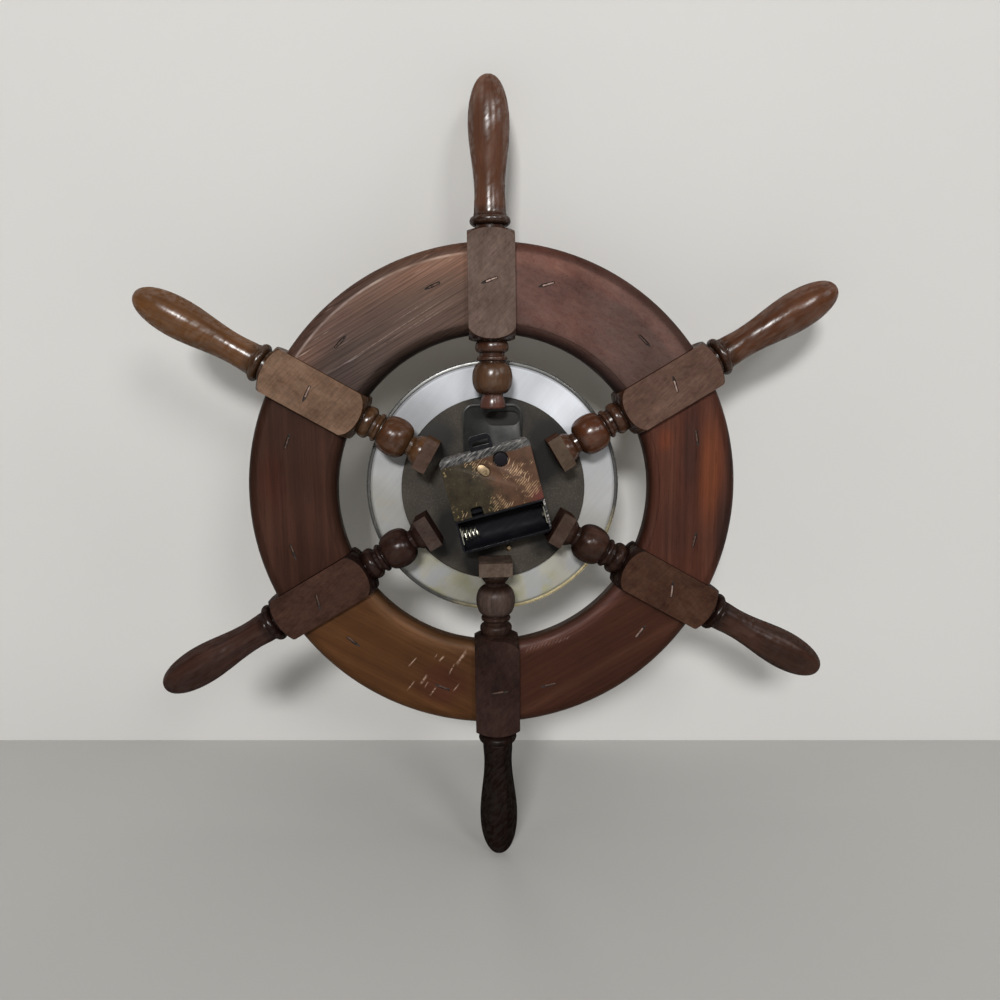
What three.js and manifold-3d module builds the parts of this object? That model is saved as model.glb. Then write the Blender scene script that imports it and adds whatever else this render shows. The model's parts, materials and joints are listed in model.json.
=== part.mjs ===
// Ship wheel wall clock: a six-spoke wooden wheel that carries a round quartz clock in its middle.
// Millimetres, +Z up. The dial faces -Y, the back of the wheel faces +Y, and the wheel turns about Y.
// The origin is the middle of the overall box: the wheel's centre line at half the clock's depth.
// Depths below are first counted from the plane of the spoke axes, and the whole is shifted at the end.
import * as THREE from 'three';
import { mergeVertices } from 'three/addons/utils/BufferGeometryUtils.js';
import Module from 'manifold-3d';

const wasm = await Module();
wasm.setup();

const { degToRad, lerp } = THREE.MathUtils;

// Fits shared by all pieces, and how far a cutting tool runs past the face that it cuts
const seatGap = 0.3;
const overcut = 1;
const fullTurn = 2 * Math.PI;
const quarterTurn = Math.PI / 2;

// Wheel: spokes are named by the hour that they point at, seen from the dial side
const spokeHours = [12, 2, 4, 6, 8, 10];
const segmentHours = [1, 3, 5, 7, 9, 11];
const bracketHour = 12;
const hourAngle = fullTurn / 12;
const spokeSpacing = 2 * hourAngle;

// Square stock of a spoke: the block that crosses the rim, and the smaller end block on the hub plate
const blockWidth = 26.2;
const blockInnerEnd = 86.2;
const blockOuterEnd = 147.4;
const innerShoulderLength = 12.5;
const outerShoulderLength = 9;
const endBlockWidth = 19.6;
const endBlockDepth = 22.5;
const endBlockLength = 8;
const endBlockClearance = 1.3;

// How many straight steps stand for a curve
const coarseSteps = 2;
const plainSteps = 3;
const fineSteps = 4;

// Turned parts of a spoke: distances from the wheel's centre and radii
const turnedSides = 12;
const flareRadius = 9;
const flareLength = 5.6;
const neckRadius = 6;
const neckLength = 1.9;
const ballEnd = 74.4;
const ballRadius = 11.6;
const ringStart = 75;
const ringEnd = 78;
const ringRadius = 8.8;
const grooveRadius = 7.2;
const innerBeadStart = 79.8;
const innerBeadEnd = 85.8;
const innerBeadRadius = 9.6;
const shoulderRadius = 8.6;
const collarStart = 149.2;
const collarEnd = 154.4;
const collarRadius = 11.5;
const handleFoot = 156;
const handleFootRadius = 9;
const handleWaist = 167;
const handleWaistRadius = 8.5;
const handleBelly = 203;
const handleBellyRadius = 11.7;
const handleTip = 228.6;
const tipFullness = 0.8;
const stubRadius = 7.4;
const stubFlareLength = 7.2;
const stubNeckLength = 1;

// Rim: six flat wooden segments with rounded edges, butted against the spoke blocks
const rimInner = 90.5;
const rimOuter = 141;
const rimThickness = 16;
const rimEdgeRound = 5.6;
const rimSides = 48;

// Hub plate with countersunk screws into the end blocks
const hubRadius = 55;
const hubThickness = 2.8;
const hubChamfer = 0.6;
const hubSides = 40;
const screwShankRadius = 1.6;
const screwHeadRadius = 3.4;
const screwHeadDepth = 1.8;
const screwLength = 14;
const screwPoint = 3;
const screwSides = 8;

// Hanger bracket: a stamped plate clamped behind the hub plate, upright
const bracketThickness = 1.2;
const bracketHalfWidth = 17.6;
const bracketTop = 50.5;
const bracketBottom = -15;
const bracketTopRound = 6.5;
const bracketBottomRound = 3;
const bracketFlange = 1.4;
const bracketFlangeBottom = 35;
const bracketSlotWidth = 20;
const bracketSlotHeight = 8.6;
const bracketSlotX = -6;
const bracketSlotZ = 42;

// Clock housing in front of the hub plate: pan, bezel, lens and dial
const housingSides = 36;
const panRadius = 74;
const panSheet = 0.6;
const panDepth = 12.4;
const panCorner = 2;
const bezelWall = 1.1;
const bezelBead = 1.2;
const bezelSkirt = 10;
const bezelLip = 5.8;
const bezelRoll = 2.6;
const lensThickness = 1.5;
const lensDome = 4.8;
const lensRings = 3;
const dialThickness = 0.6;
const dialMargin = 2.6;

// Shaft bush, washer and nut that clamp the movement, bracket, plate, pan and dial together
const bushRadius = 3.9;
const bushFlangeRadius = 5.2;
const bushFlangeThickness = 0.5;
const washerRadius = 6.6;
const washerThickness = 0.6;
const nutAcrossFlats = 10.6;
const nutSides = 6;
const nutThickness = 2;
const bushProud = 0.4;
const shaftSides = 12;

// Hands
const handThickness = 0.5;
const handSpacing = 1;
const hourHand = { length: 37, width: 7.4, neck: 1.8, shoulder: 12, belly: 22, tail: 9, hub: 4.4 };
const minuteHand = { length: 55, width: 6, neck: 1.5, shoulder: 18, belly: 33, tail: 11, hub: 3.6 };
const secondHand = { length: 57, width: 1.1, tip: 0.4, tail: 18, hub: 2.4, weight: 3.2 };
const hourHandTurn = degToRad(305);
const minuteHandTurn = degToRad(60);
const secondHandTurn = degToRad(210);

// Concentric pipes of the hands, from the middle outwards
const secondArborRadius = 0.6;
const pipeWall = 0.45;

// Movement case, turned on the wheel, with the shaft off its middle
const caseTurn = degToRad(14);
const caseWidth = 53.8;
const caseHeight = 56.6;
const caseDepth = 15.5;
const shaftFromSide = 26.6;
const shaftFromTop = 26;
const caseWall = 1.2;
const caseRound = 3;
const trainRoomHeight = 36.9;
const bayEndWall = 1.2;
const bayFloorRound = 6.4;
const coverThickness = 1.2;
const coverLowerRound = 1.5;
const notchX = 12.6;
const notchWidth = 7;
const notchHeight = 5.4;
const notchRound = 1.5;
const bailX = 0.5;
const bailHeight = 8.5;
const bailWidth = 13;
const bailThickness = 2.4;
const bailSlotWidth = 9.4;
const bailSlotHeight = 3.2;
const bailBridge = 3;

// Setting knob in the cover
const knobX = -8.5;
const knobZ = 18;
const knobRadius = 4.1;
const knobHeight = 2.6;
const knobFlutes = 14;
const knobFluteDepth = 0.35;
const knobShaftRadius = 1.6;

// Brass clip that shows in a window of the cover
const clipX = 2.8;
const clipZ = 14;
const clipLength = 8;
const clipWidth = 4.8;
const clipTilt = degToRad(-53);
const clipThickness = 0.5;

// Battery contacts: a conical coil at one end of the bay and a dimpled plate at the other
const springTurns = 4;
const springLength = 9.5;
const springWire = 0.45;
const springSmall = 2.6;
const springLarge = 4.2;
const springStepsPerTurn = 8;
const springWireSides = 5;
const contactWidth = 10;
const contactThickness = 0.4;
const contactDimpleRadius = 2.6;
const contactDimpleHeight = 1.3;

// Wheel train: tooth counts, tooth sizes and the directions in which the wheels stand
const wheelThickness = 0.6;
const pinionExtra = 0.1;
const layerGap = 0.3;
const toothHeight = 0.6;
const toothDepth = 1.3;
const toothTip = 0.16;
const arborRadius = 0.5;
const arborSides = 6;
const weldDepth = 0.2;
const bossWall = 0.8;
const bossHeight = 0.8;
const pinionTeeth = 6;
const centreTeeth = 48;
const thirdTeeth = 45;
const secondTeeth = 30;
const fifthTeeth = 36;
const cannonTeeth = 8;
const minuteTeeth = 24;
const hourTeeth = 24;
const settingTeeth = 22;
const centreModule = 0.3;
const secondModule = 0.46;
const motionModule = 0.52;
const thirdDirection = degToRad(185);
const fifthDirection = degToRad(30);
const rotorDirection = degToRad(40);
const rotorRadius = 3;
const rotorHeight = 1.8;
const rotorAirGap = 0.5;

// Stator, coil, bridge and circuit board
const statorThickness = 0.8;
const statorHalfHeight = 4.2;
const statorReach = 10.4;
const statorArm = 3;
const coilRise = 11.2;
const coilRadius = 2.9;
const coilFlangeRadius = 3.3;
const coilFlange = 0.8;
const coilCoreWidth = 3;
const coilSides = 12;
const bridgeThickness = 1;
const bridgeLeft = -18.6;
const bridgeRight = 17.4;
const bridgeBottom = -9.6;
const bridgeTop = 13;
const postRadius = 1.5;
const postInset = 2.2;
const boardThickness = 0.8;
const boardLeft = -24;
const boardRight = -4;
const boardBottom = -9;
const boardTop = 11;
const crystalRadius = 0.9;
const crystalLength = 6;

// Depths of the layers, worked out from the back of the spokes towards the dial
const backOfBlocks = blockWidth / 2;
const hubBack = -endBlockDepth / 2 - seatGap;
const hubFront = hubBack - hubThickness;
const bracketFront = hubBack + seatGap;
const bracketBack = bracketFront + bracketThickness;
const caseFront = bracketBack + seatGap;
const caseBack = caseFront + caseDepth;
const panBack = hubFront - seatGap;
const panFloor = panBack - panSheet;
const panFront = panBack - panDepth;
const dialBack = panFloor - seatGap;
const dialFront = dialBack - dialThickness;
const washerBack = dialFront - seatGap;
const nutBack = washerBack - washerThickness - seatGap;
const bushEnd = nutBack - nutThickness - bushProud;
const hourPipeEnd = bushEnd - seatGap - handThickness;
const minutePipeEnd = hourPipeEnd - handSpacing - handThickness;
const secondArborEnd = minutePipeEnd - handSpacing - handThickness;
const lensBack = panFront - seatGap;
const lensRim = lensBack - lensThickness;
const lensFront = lensRim - lensDome;
const bezelInner = panRadius + seatGap;
const bezelOuter = bezelInner + bezelWall;
const depthShift = -(backOfBlocks + lensFront) / 2;

// Sizes that follow from the movement's own values
const minuteBore = secondArborRadius + seatGap;
const minutePipeRadius = minuteBore + pipeWall;
const hourBore = minutePipeRadius + seatGap;
const hourPipeRadius = hourBore + pipeWall;
const bushBore = hourPipeRadius + seatGap;
const bushHole = bushRadius + seatGap;
const caseRight = shaftFromSide;
const caseLeft = shaftFromSide - caseWidth;
const caseTop = shaftFromTop;
const caseBottom = caseTop - caseHeight;
const floorInside = caseFront + caseWall;
const coverBack = caseBack;
const coverFront = coverBack - coverThickness;
const rebate = coverFront - seatGap;
const trainRoomBottom = caseTop - trainRoomHeight;
const bayTop = trainRoomBottom - caseWall;
const bayBottom = caseBottom + caseWall;
const bayMiddle = (bayTop + bayBottom) / 2;
const bayRight = caseRight - bayEndWall;
const bayLeft = caseLeft + bayEndWall;

// The end blocks of the spokes stand clear of the case's furthest corner, whichever way it is turned
const furthestSide = Math.max(caseRight, -caseLeft);
const caseReach = Math.hypot(furthestSide, caseBottom) - caseRound * (Math.SQRT2 - 1);
const endBlockStart = caseReach + endBlockClearance;
const endBlockEnd = endBlockStart + endBlockLength;
const screwCircle = endBlockStart + endBlockLength / 2;
const neckEnd = endBlockEnd + flareLength + neckLength;

// Layers of the wheel train, from the case's front wall to the cover
const bushFlangeBack = floorInside + seatGap + bushFlangeThickness;
const hourLayer = bushFlangeBack + layerGap;
const motionLayer = hourLayer + wheelThickness + layerGap;
const centreLayer = motionLayer + wheelThickness + layerGap;
const thirdLayer = centreLayer + wheelThickness + layerGap;
const secondLayer = thirdLayer + wheelThickness + layerGap;
const fifthLayer = secondLayer + wheelThickness + layerGap;
const rotorLayer = fifthLayer + wheelThickness + layerGap;
const statorBack = rotorLayer + (rotorHeight + statorThickness) / 2;
const bridgeFront = rotorLayer + rotorHeight + layerGap;
const bridgeBack = bridgeFront + bridgeThickness;
const boardFront = bridgeBack + seatGap;

// Centre distances of the meshing pairs
const thirdDistance = ((centreTeeth + pinionTeeth) * centreModule) / 2;
const thirdModule = (2 * thirdDistance) / (thirdTeeth + pinionTeeth);
const fifthDistance = ((secondTeeth + pinionTeeth) * secondModule) / 2;
const rotorModule = (2 * fifthDistance) / (fifthTeeth + pinionTeeth);
const minuteDistance = ((cannonTeeth + minuteTeeth) * motionModule) / 2;
const hourModule = (2 * minuteDistance) / (hourTeeth + pinionTeeth);
const settingDistance = ((minuteTeeth + settingTeeth) * motionModule) / 2;

function finish(color, roughness, metalness) {
  return new THREE.MeshStandardMaterial({ color, roughness, metalness });
}

function woodFinish() {
  return finish('#4a2a1c', 0.5, 0);
}

function paleWoodFinish() {
  return finish('#5a4032', 0.7, 0);
}

function steelFinish() {
  return finish('#9a9c9e', 0.35, 1);
}

function brassFinish() {
  return finish('#c9a04e', 0.3, 1);
}

function blackPlasticFinish() {
  return finish('#1d1e20', 0.5, 0);
}

function whitePlasticFinish() {
  return finish('#e4e0d6', 0.5, 0);
}

// A closed body, with shared corners merged and flat slivers dropped, ready to be joined or cut
function solid(geometry) {
  const bare = geometry.clone();
  bare.deleteAttribute('normal');
  bare.deleteAttribute('uv');
  const merged = mergeVertices(bare);
  const corners = merged.index.array;
  const kept = [];
  for (let at = 0; at < corners.length; at += 3) {
    const [a, b, c] = corners.slice(at, at + 3);
    if (a !== b && b !== c && c !== a) {
      kept.push(a, b, c);
    }
  }
  const mesh = new wasm.Mesh({
    numProp: 3,
    vertProperties: Float32Array.from(merged.attributes.position.array),
    triVerts: Uint32Array.from(kept),
  });
  return new wasm.Manifold(mesh);
}

function geometryOf(body) {
  const mesh = body.getMesh();
  const geometry = new THREE.BufferGeometry();
  geometry.setAttribute('position', new THREE.BufferAttribute(mesh.vertProperties, 3));
  geometry.setIndex(new THREE.BufferAttribute(mesh.triVerts, 1));
  return geometry;
}

function joined(...pieces) {
  return geometryOf(pieces.map(solid).reduce((whole, piece) => whole.add(piece)));
}

function cut(piece, ...tools) {
  return geometryOf(tools.map(solid).reduce((whole, tool) => whole.subtract(tool), solid(piece)));
}

function common(piece, other) {
  return geometryOf(solid(piece).intersect(solid(other)));
}

// Revolved about Y from pairs of [radius, depth]; open profiles start and end on the axis
function revolved(profile, sides) {
  const area = profile.reduce((sum, [radius, depth], at) => {
    const [nextRadius, nextDepth] = profile[(at + 1) % profile.length];
    return sum + radius * nextDepth - nextRadius * depth;
  }, 0);
  const ordered = area > 0 ? [...profile] : [...profile].reverse();
  const touchesAxis = profile.some(([radius]) => radius === 0);
  if (touchesAxis) {
    while (ordered[0][0] !== 0 || ordered[ordered.length - 1][0] !== 0) {
      ordered.push(ordered.shift());
    }
  } else {
    ordered.push(ordered[0]);
  }
  const points = ordered.map(([radius, depth]) => new THREE.Vector2(radius, depth));
  return new THREE.LatheGeometry(points, sides);
}

// Flat piece facing Y, from an outline in X and Z
function plate(outline, front, back, curveSegments = fineSteps) {
  const options = { depth: back - front, bevelEnabled: false, curveSegments };
  const geometry = new THREE.ExtrudeGeometry(outline, options);
  geometry.rotateX(quarterTurn);
  geometry.translate(0, back, 0);
  return geometry;
}

function rod(radius, front, back, sides, x = 0, z = 0) {
  const geometry = new THREE.CylinderGeometry(radius, radius, back - front, sides);
  geometry.translate(x, (front + back) / 2, z);
  return geometry;
}

function tube(bore, radius, front, back, sides) {
  return revolved([[bore, front], [radius, front], [radius, back], [bore, back]], sides);
}

function box(left, right, front, back, bottom, top) {
  const geometry = new THREE.BoxGeometry(right - left, back - front, top - bottom);
  geometry.translate((left + right) / 2, (front + back) / 2, (bottom + top) / 2);
  return geometry;
}

function roundedRectangle(left, right, bottom, top, lower, upper = lower) {
  const outline = new THREE.Shape();
  outline.absarc(right - lower, bottom + lower, lower, -quarterTurn, 0);
  outline.absarc(right - upper, top - upper, upper, 0, quarterTurn);
  outline.absarc(left + upper, top - upper, upper, quarterTurn, Math.PI);
  outline.absarc(left + lower, bottom + lower, lower, Math.PI, Math.PI + quarterTurn);
  return outline;
}

// Corners of an even-sided figure whose flats, not its corners, lie at the radius
function flatSided(radius, sides, x = 0, z = 0) {
  const cornerRadius = radius / Math.cos(Math.PI / sides);
  const points = [];
  for (let side = 0; side < sides; side += 1) {
    const angle = (side * fullTurn) / sides;
    points.push(new THREE.Vector2(x + cornerRadius * Math.cos(angle), z + cornerRadius * Math.sin(angle)));
  }
  return points;
}

function roundHole(radius, sides, x = 0, z = 0) {
  return new THREE.Path(flatSided(radius, sides, x, z));
}

// Reaches past the corners of square stock
function pastCorners(width) {
  return width * Math.SQRT1_2 + overcut;
}

function addMesh(parent, name, geometry, material) {
  const mesh = new THREE.Mesh(geometry, material);
  mesh.name = name;
  parent.add(mesh);
  return mesh;
}

// An oval bulge on a turned stick, as pairs of [distance, radius]
function bulge(start, end, startRadius, endRadius, peak, steps) {
  const points = [];
  for (let step = 0; step <= steps; step += 1) {
    const angle = (Math.PI * step) / steps;
    const share = (1 - Math.cos(angle)) / 2;
    const base = lerp(startRadius, endRadius, share);
    points.push([lerp(start, end, share), base + (peak - base) * Math.sin(angle)]);
  }
  return points;
}

// A hollow flare that runs from a wide end down to a neck
function flare(start, end, wide, narrow, steps) {
  const points = [];
  for (let step = 0; step <= steps; step += 1) {
    const angle = (quarterTurn * step) / steps;
    points.push([lerp(start, end, Math.sin(angle)), lerp(narrow, wide, Math.cos(angle) ** 2)]);
  }
  return points;
}

// A smooth swelling between two radii
function swell(start, end, startRadius, endRadius, steps) {
  const points = [];
  for (let step = 1; step <= steps; step += 1) {
    const share = step / steps;
    const eased = (1 - Math.cos(Math.PI * share)) / 2;
    points.push([lerp(start, end, share), lerp(startRadius, endRadius, eased)]);
  }
  return points;
}

// The rounded shoulder that the lathe leaves where a square block meets a turned part
function shoulder(squareEnd, length, steps) {
  const points = [];
  for (let step = 0; step <= steps; step += 1) {
    const angle = (quarterTurn * step) / steps;
    const distance = squareEnd + length * (1 - Math.cos(angle));
    points.push([distance, lerp(shoulderRadius, pastCorners(blockWidth), Math.sin(angle))]);
  }
  return points;
}

function roundedTip(start, end, radius, steps) {
  const points = [];
  for (let step = 1; step < steps; step += 1) {
    const angle = (quarterTurn * step) / steps;
    points.push([lerp(start, end, Math.sin(angle)), radius * Math.cos(angle) ** tipFullness]);
  }
  points.push([end, 0]);
  return points;
}

function hubEndProfile(reachesHub) {
  if (!reachesHub) {
    const stubEnd = neckEnd - stubNeckLength;
    const stubStart = stubEnd - stubFlareLength;
    return [[stubStart, 0], ...flare(stubStart, stubEnd, stubRadius, neckRadius, coarseSteps)];
  }
  return [
    [endBlockStart, 0],
    [endBlockStart, pastCorners(endBlockDepth)],
    [endBlockEnd, pastCorners(endBlockDepth)],
    ...flare(endBlockEnd, endBlockEnd + flareLength, flareRadius, neckRadius, coarseSteps),
  ];
}

function spokeProfile(reachesHub) {
  return [
    ...hubEndProfile(reachesHub),
    ...bulge(neckEnd, ballEnd, neckRadius, grooveRadius, ballRadius, fineSteps),
    ...bulge(ringStart, ringEnd, grooveRadius, grooveRadius, ringRadius, coarseSteps).slice(1),
    ...bulge(innerBeadStart, innerBeadEnd, grooveRadius, shoulderRadius, innerBeadRadius, plainSteps),
    ...shoulder(blockInnerEnd, innerShoulderLength, fineSteps),
    ...shoulder(blockOuterEnd, -outerShoulderLength, fineSteps).reverse(),
    ...bulge(collarStart, collarEnd, shoulderRadius, handleFootRadius, collarRadius, plainSteps),
    [handleFoot, handleFootRadius],
    [handleWaist, handleWaistRadius],
    ...swell(handleWaist, handleBelly, handleWaistRadius, handleBellyRadius, plainSteps),
    ...roundedTip(handleBelly, handleTip, handleBellyRadius, fineSteps),
  ];
}

function alongSpoke(profile, sides) {
  const turned = profile.map(([distance, radius]) => [radius, distance]);
  return revolved(turned, sides).rotateX(quarterTurn);
}

// A countersunk screw, or with extra room round it the hole that it sits in
function screw(extra) {
  const head = hubFront - extra;
  const tip = hubFront + screwLength + extra;
  const shank = screwShankRadius + extra;
  const body = revolved([
    [0, head],
    [screwHeadRadius + extra, head],
    [screwHeadRadius + extra, hubFront],
    [shank, hubFront + screwHeadDepth],
    [shank, tip - screwPoint],
    [0, tip],
  ], screwSides);
  return geometryOf(solid(body));
}

function spoke(reachesHub) {
  const turned = alongSpoke(spokeProfile(reachesHub), turnedSides);
  const halfBlock = blockWidth / 2;
  const halfEnd = endBlockWidth / 2;
  const halfDepth = endBlockDepth / 2;
  const endBar = box(-halfEnd, halfEnd, -halfDepth, halfDepth, 0, neckEnd + seatGap);
  const bar = box(-halfBlock, halfBlock, -halfBlock, halfBlock, neckEnd, handleTip + seatGap);
  const stick = common(turned, joined(endBar, bar));
  return reachesHub ? cut(stick, screw(seatGap).translate(0, 0, screwCircle)) : stick;
}

function rimSegment() {
  const half = rimThickness / 2;
  const inner = rimInner + rimEdgeRound;
  const outer = rimOuter - rimEdgeRound;
  const profile = [];
  for (const [radius, depth, start] of [
    [outer, -half + rimEdgeRound, -1],
    [outer, half - rimEdgeRound, 0],
    [inner, half - rimEdgeRound, 1],
    [inner, -half + rimEdgeRound, 2],
  ]) {
    for (let step = 0; step <= coarseSteps; step += 1) {
      const angle = (start + step / coarseSteps) * quarterTurn;
      profile.push([radius + rimEdgeRound * Math.cos(angle), depth + rimEdgeRound * Math.sin(angle)]);
    }
  }
  const ring = revolved(profile, rimSides);
  const apex = (blockWidth / 2 + seatGap) / Math.sin(spokeSpacing / 2);
  const reach = rimOuter + overcut;
  const wedge = new THREE.Shape();
  wedge.moveTo(0, apex);
  wedge.lineTo(reach * Math.sin(spokeSpacing / 2), apex + reach * Math.cos(spokeSpacing / 2));
  wedge.lineTo(-reach * Math.sin(spokeSpacing / 2), apex + reach * Math.cos(spokeSpacing / 2));
  return common(ring, plate(wedge, -rimThickness, rimThickness));
}

function addWheel(parent) {
  const segment = rimSegment();
  for (const hour of segmentHours) {
    const mesh = addMesh(parent, `rim_segment_${hour}`, segment.clone(), woodFinish());
    mesh.rotation.y = hour * hourAngle;
  }
  for (const hour of spokeHours) {
    const reachesHub = hour !== bracketHour;
    const wood = Math.cos(hour * hourAngle) > 0 ? paleWoodFinish() : woodFinish();
    const mesh = addMesh(parent, `spoke_${hour}`, spoke(reachesHub), wood);
    mesh.rotation.y = hour * hourAngle;
  }
}

function addHub(parent) {
  const blank = revolved([
    [bushHole, hubFront],
    [hubRadius - hubChamfer, hubFront],
    [hubRadius, hubFront + hubChamfer],
    [hubRadius, hubBack],
    [bushHole, hubBack],
  ], hubSides);
  const screwed = spokeHours.filter((hour) => hour !== bracketHour);
  const place = (piece, hour) => piece.translate(0, 0, screwCircle).rotateY(hour * hourAngle);
  const holes = screwed.map((hour) => place(screw(seatGap), hour));
  addMesh(parent, 'hub_plate', cut(blank, ...holes), finish('#4b4742', 0.75, 0));
  for (const hour of screwed) {
    addMesh(parent, `hub_screw_${hour}`, place(screw(0), hour), brassFinish());
  }
}

function slotOutline(middleX, middleZ, width, height, Kind) {
  const outline = new Kind();
  const end = height / 2;
  const straight = width / 2 - end;
  outline.absarc(middleX + straight, middleZ, end, -quarterTurn, quarterTurn);
  outline.absarc(middleX - straight, middleZ, end, quarterTurn, 3 * quarterTurn);
  return outline;
}

function addBracket(parent) {
  const side = bracketHalfWidth;
  const outline = roundedRectangle(
    -side,
    side,
    bracketBottom,
    bracketTop,
    bracketBottomRound,
    bracketTopRound,
  );
  const slot = slotOutline(
    bracketSlotX,
    bracketSlotZ,
    bracketSlotWidth,
    bracketSlotHeight,
    THREE.Path,
  );
  outline.holes.push(roundHole(bushHole, shaftSides), slot);
  const sheet = plate(outline, bracketFront, bracketBack, plainSteps);
  const inset = bracketThickness;
  const rim = roundedRectangle(-side, side, bracketFlangeBottom, bracketTop, inset, bracketTopRound);
  const inside = roundedRectangle(
    -side + inset,
    side - inset,
    bracketFlangeBottom - bracketTopRound,
    bracketTop - inset,
    inset,
    bracketTopRound - inset,
  );
  const flangeBack = bracketBack + bracketFlange;
  const flange = cut(
    plate(rim, bracketFront, flangeBack, plainSteps),
    plate(inside, bracketFront - overcut, flangeBack + overcut, plainSteps),
  );
  addMesh(parent, 'hanger_bracket', joined(sheet, flange), finish('#3a3a38', 0.6, 0.6));
}

function lensProfile() {
  const flat = panRadius - bezelLip - seatGap;
  const front = [];
  const back = [];
  for (let ring = 0; ring <= lensRings; ring += 1) {
    const share = ring / lensRings;
    const rise = lensDome * Math.cos(share * quarterTurn);
    front.push([flat * share, lensRim - rise]);
    back.push([flat * share, lensBack - rise]);
  }
  return [...front, [panRadius, lensRim], [panRadius, lensBack], ...back.reverse()];
}

function addHousing(parent) {
  const pan = revolved([
    [bushHole, panFloor],
    [panRadius - panSheet - panCorner, panFloor],
    [panRadius - panSheet, panFloor - panCorner],
    [panRadius - panSheet, panFront],
    [panRadius, panFront],
    [panRadius, panBack - panCorner],
    [panRadius - panCorner, panBack],
    [bushHole, panBack],
  ], housingSides);
  addMesh(parent, 'dial_pan', pan, finish('#c6c9cc', 0.35, 1));

  const lipInner = panRadius - bezelLip;
  const seat = lensRim - seatGap;
  const skirtBack = panFront + bezelSkirt;
  const bezel = revolved([
    [lipInner, seat - bezelWall],
    [lipInner + bezelRoll, seat - bezelRoll],
    [bezelInner - bezelWall, seat - bezelRoll],
    [bezelOuter + bezelBead, seat + bezelWall],
    [bezelOuter + bezelBead, lensBack],
    [bezelOuter, panFront + bezelWall],
    [bezelOuter, skirtBack - 2 * bezelBead],
    [bezelOuter + bezelBead, skirtBack - bezelBead],
    [bezelOuter, skirtBack],
    [bezelInner, skirtBack],
    [bezelInner, seat],
    [lipInner, seat],
  ], housingSides);
  addMesh(parent, 'bezel', bezel, brassFinish());
  addMesh(parent, 'lens', revolved(lensProfile(), housingSides), finish('#dfe8ea', 0.05, 0));
  const dial = tube(bushHole, panRadius - panSheet - dialMargin, dialFront, dialBack, housingSides);
  addMesh(parent, 'dial', dial, finish('#efe9d8', 0.6, 0));
}

function addClamp(parent) {
  const bush = joined(
    tube(bushBore, bushRadius, bushEnd, bushFlangeBack, shaftSides),
    tube(bushBore, bushFlangeRadius, bushFlangeBack - bushFlangeThickness, bushFlangeBack, shaftSides),
  );
  addMesh(parent, 'threaded_bush', bush, brassFinish());
  const washer = tube(bushHole, washerRadius, washerBack - washerThickness, washerBack, shaftSides);
  addMesh(parent, 'shaft_washer', washer, brassFinish());
  const hexagon = new THREE.Shape(flatSided(nutAcrossFlats / 2, nutSides));
  hexagon.holes.push(roundHole(bushHole, shaftSides));
  addMesh(parent, 'shaft_nut', plate(hexagon, nutBack - nutThickness, nutBack), brassFinish());
}

function leafHand({ length, width, neck, shoulder: start, belly, tail, hub }, bore, front) {
  const blade = new THREE.Shape();
  blade.moveTo(-neck, -tail);
  blade.lineTo(neck, -tail);
  blade.lineTo(neck, start);
  blade.quadraticCurveTo(width, belly, 0, length);
  blade.quadraticCurveTo(-width, belly, -neck, start);
  const back = front + handThickness;
  const body = joined(plate(blade, front, back), rod(hub, front, back, shaftSides));
  return cut(body, rod(bore, front - overcut, back + overcut, shaftSides));
}

function sweepHand(front) {
  const { length, width, tip, tail, hub, weight } = secondHand;
  const back = front + handThickness;
  const needle = new THREE.Shape();
  needle.moveTo(-width, -tail);
  needle.lineTo(width, -tail);
  needle.lineTo(tip, length);
  needle.lineTo(-tip, length);
  const body = joined(
    plate(needle, front, back),
    rod(hub, front, back, shaftSides),
    rod(weight, front, back, shaftSides, 0, -tail),
  );
  const bore = secondArborRadius + seatGap;
  return cut(body, rod(bore, front - overcut, back + overcut, shaftSides));
}

function addHands(parent) {
  const black = () => finish('#151515', 0.4, 0.3);
  const hourBody = leafHand(hourHand, hourPipeRadius + seatGap, hourPipeEnd);
  addMesh(parent, 'hour_hand', hourBody, black()).rotation.y = hourHandTurn;
  const minuteBody = leafHand(minuteHand, minutePipeRadius + seatGap, minutePipeEnd);
  addMesh(parent, 'minute_hand', minuteBody, black()).rotation.y = minuteHandTurn;
  addMesh(parent, 'second_hand', sweepHand(secondArborEnd), black()).rotation.y = secondHandTurn;
}

// Outline of a toothed wheel with a tooth pointing in the direction of phase
function toothed(teeth, module, phase) {
  const pitchRadius = (teeth * module) / 2;
  const tipRadius = pitchRadius + toothHeight * module;
  const rootRadius = pitchRadius - toothDepth * module;
  const pitch = fullTurn / teeth;
  const points = [];
  for (let tooth = 0; tooth < teeth; tooth += 1) {
    const middle = phase + tooth * pitch;
    for (const [radius, offset] of [
      [tipRadius, -toothTip / 2],
      [tipRadius, toothTip / 2],
      [rootRadius, 0.5],
    ]) {
      const angle = middle + offset * pitch;
      points.push(new THREE.Vector2(radius * Math.cos(angle), radius * Math.sin(angle)));
    }
  }
  return points;
}

// Phase that puts a wheel in mesh with its neighbour, which lies in the opposite direction
function inMesh(phase, teeth, direction, ownTeeth) {
  const neighbourShare = ((direction - phase) * teeth) / fullTurn;
  return direction + Math.PI - ((0.5 - neighbourShare) * fullTurn) / ownTeeth;
}

function gear(teeth, module, phase, front, back, bore = 0) {
  const outline = new THREE.Shape(toothed(teeth, module, phase));
  if (bore > 0) {
    outline.holes.push(roundHole(bore, shaftSides));
  }
  return plate(outline, front, back);
}

function pinion(phase, module, layer) {
  return gear(pinionTeeth, module, phase, layer - pinionExtra, layer + wheelThickness + pinionExtra);
}

function direction(from, to) {
  return Math.atan2(to.z - from.z, to.x - from.x);
}

function polar(distance, angle) {
  return { x: distance * Math.cos(angle), z: distance * Math.sin(angle) };
}

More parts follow.
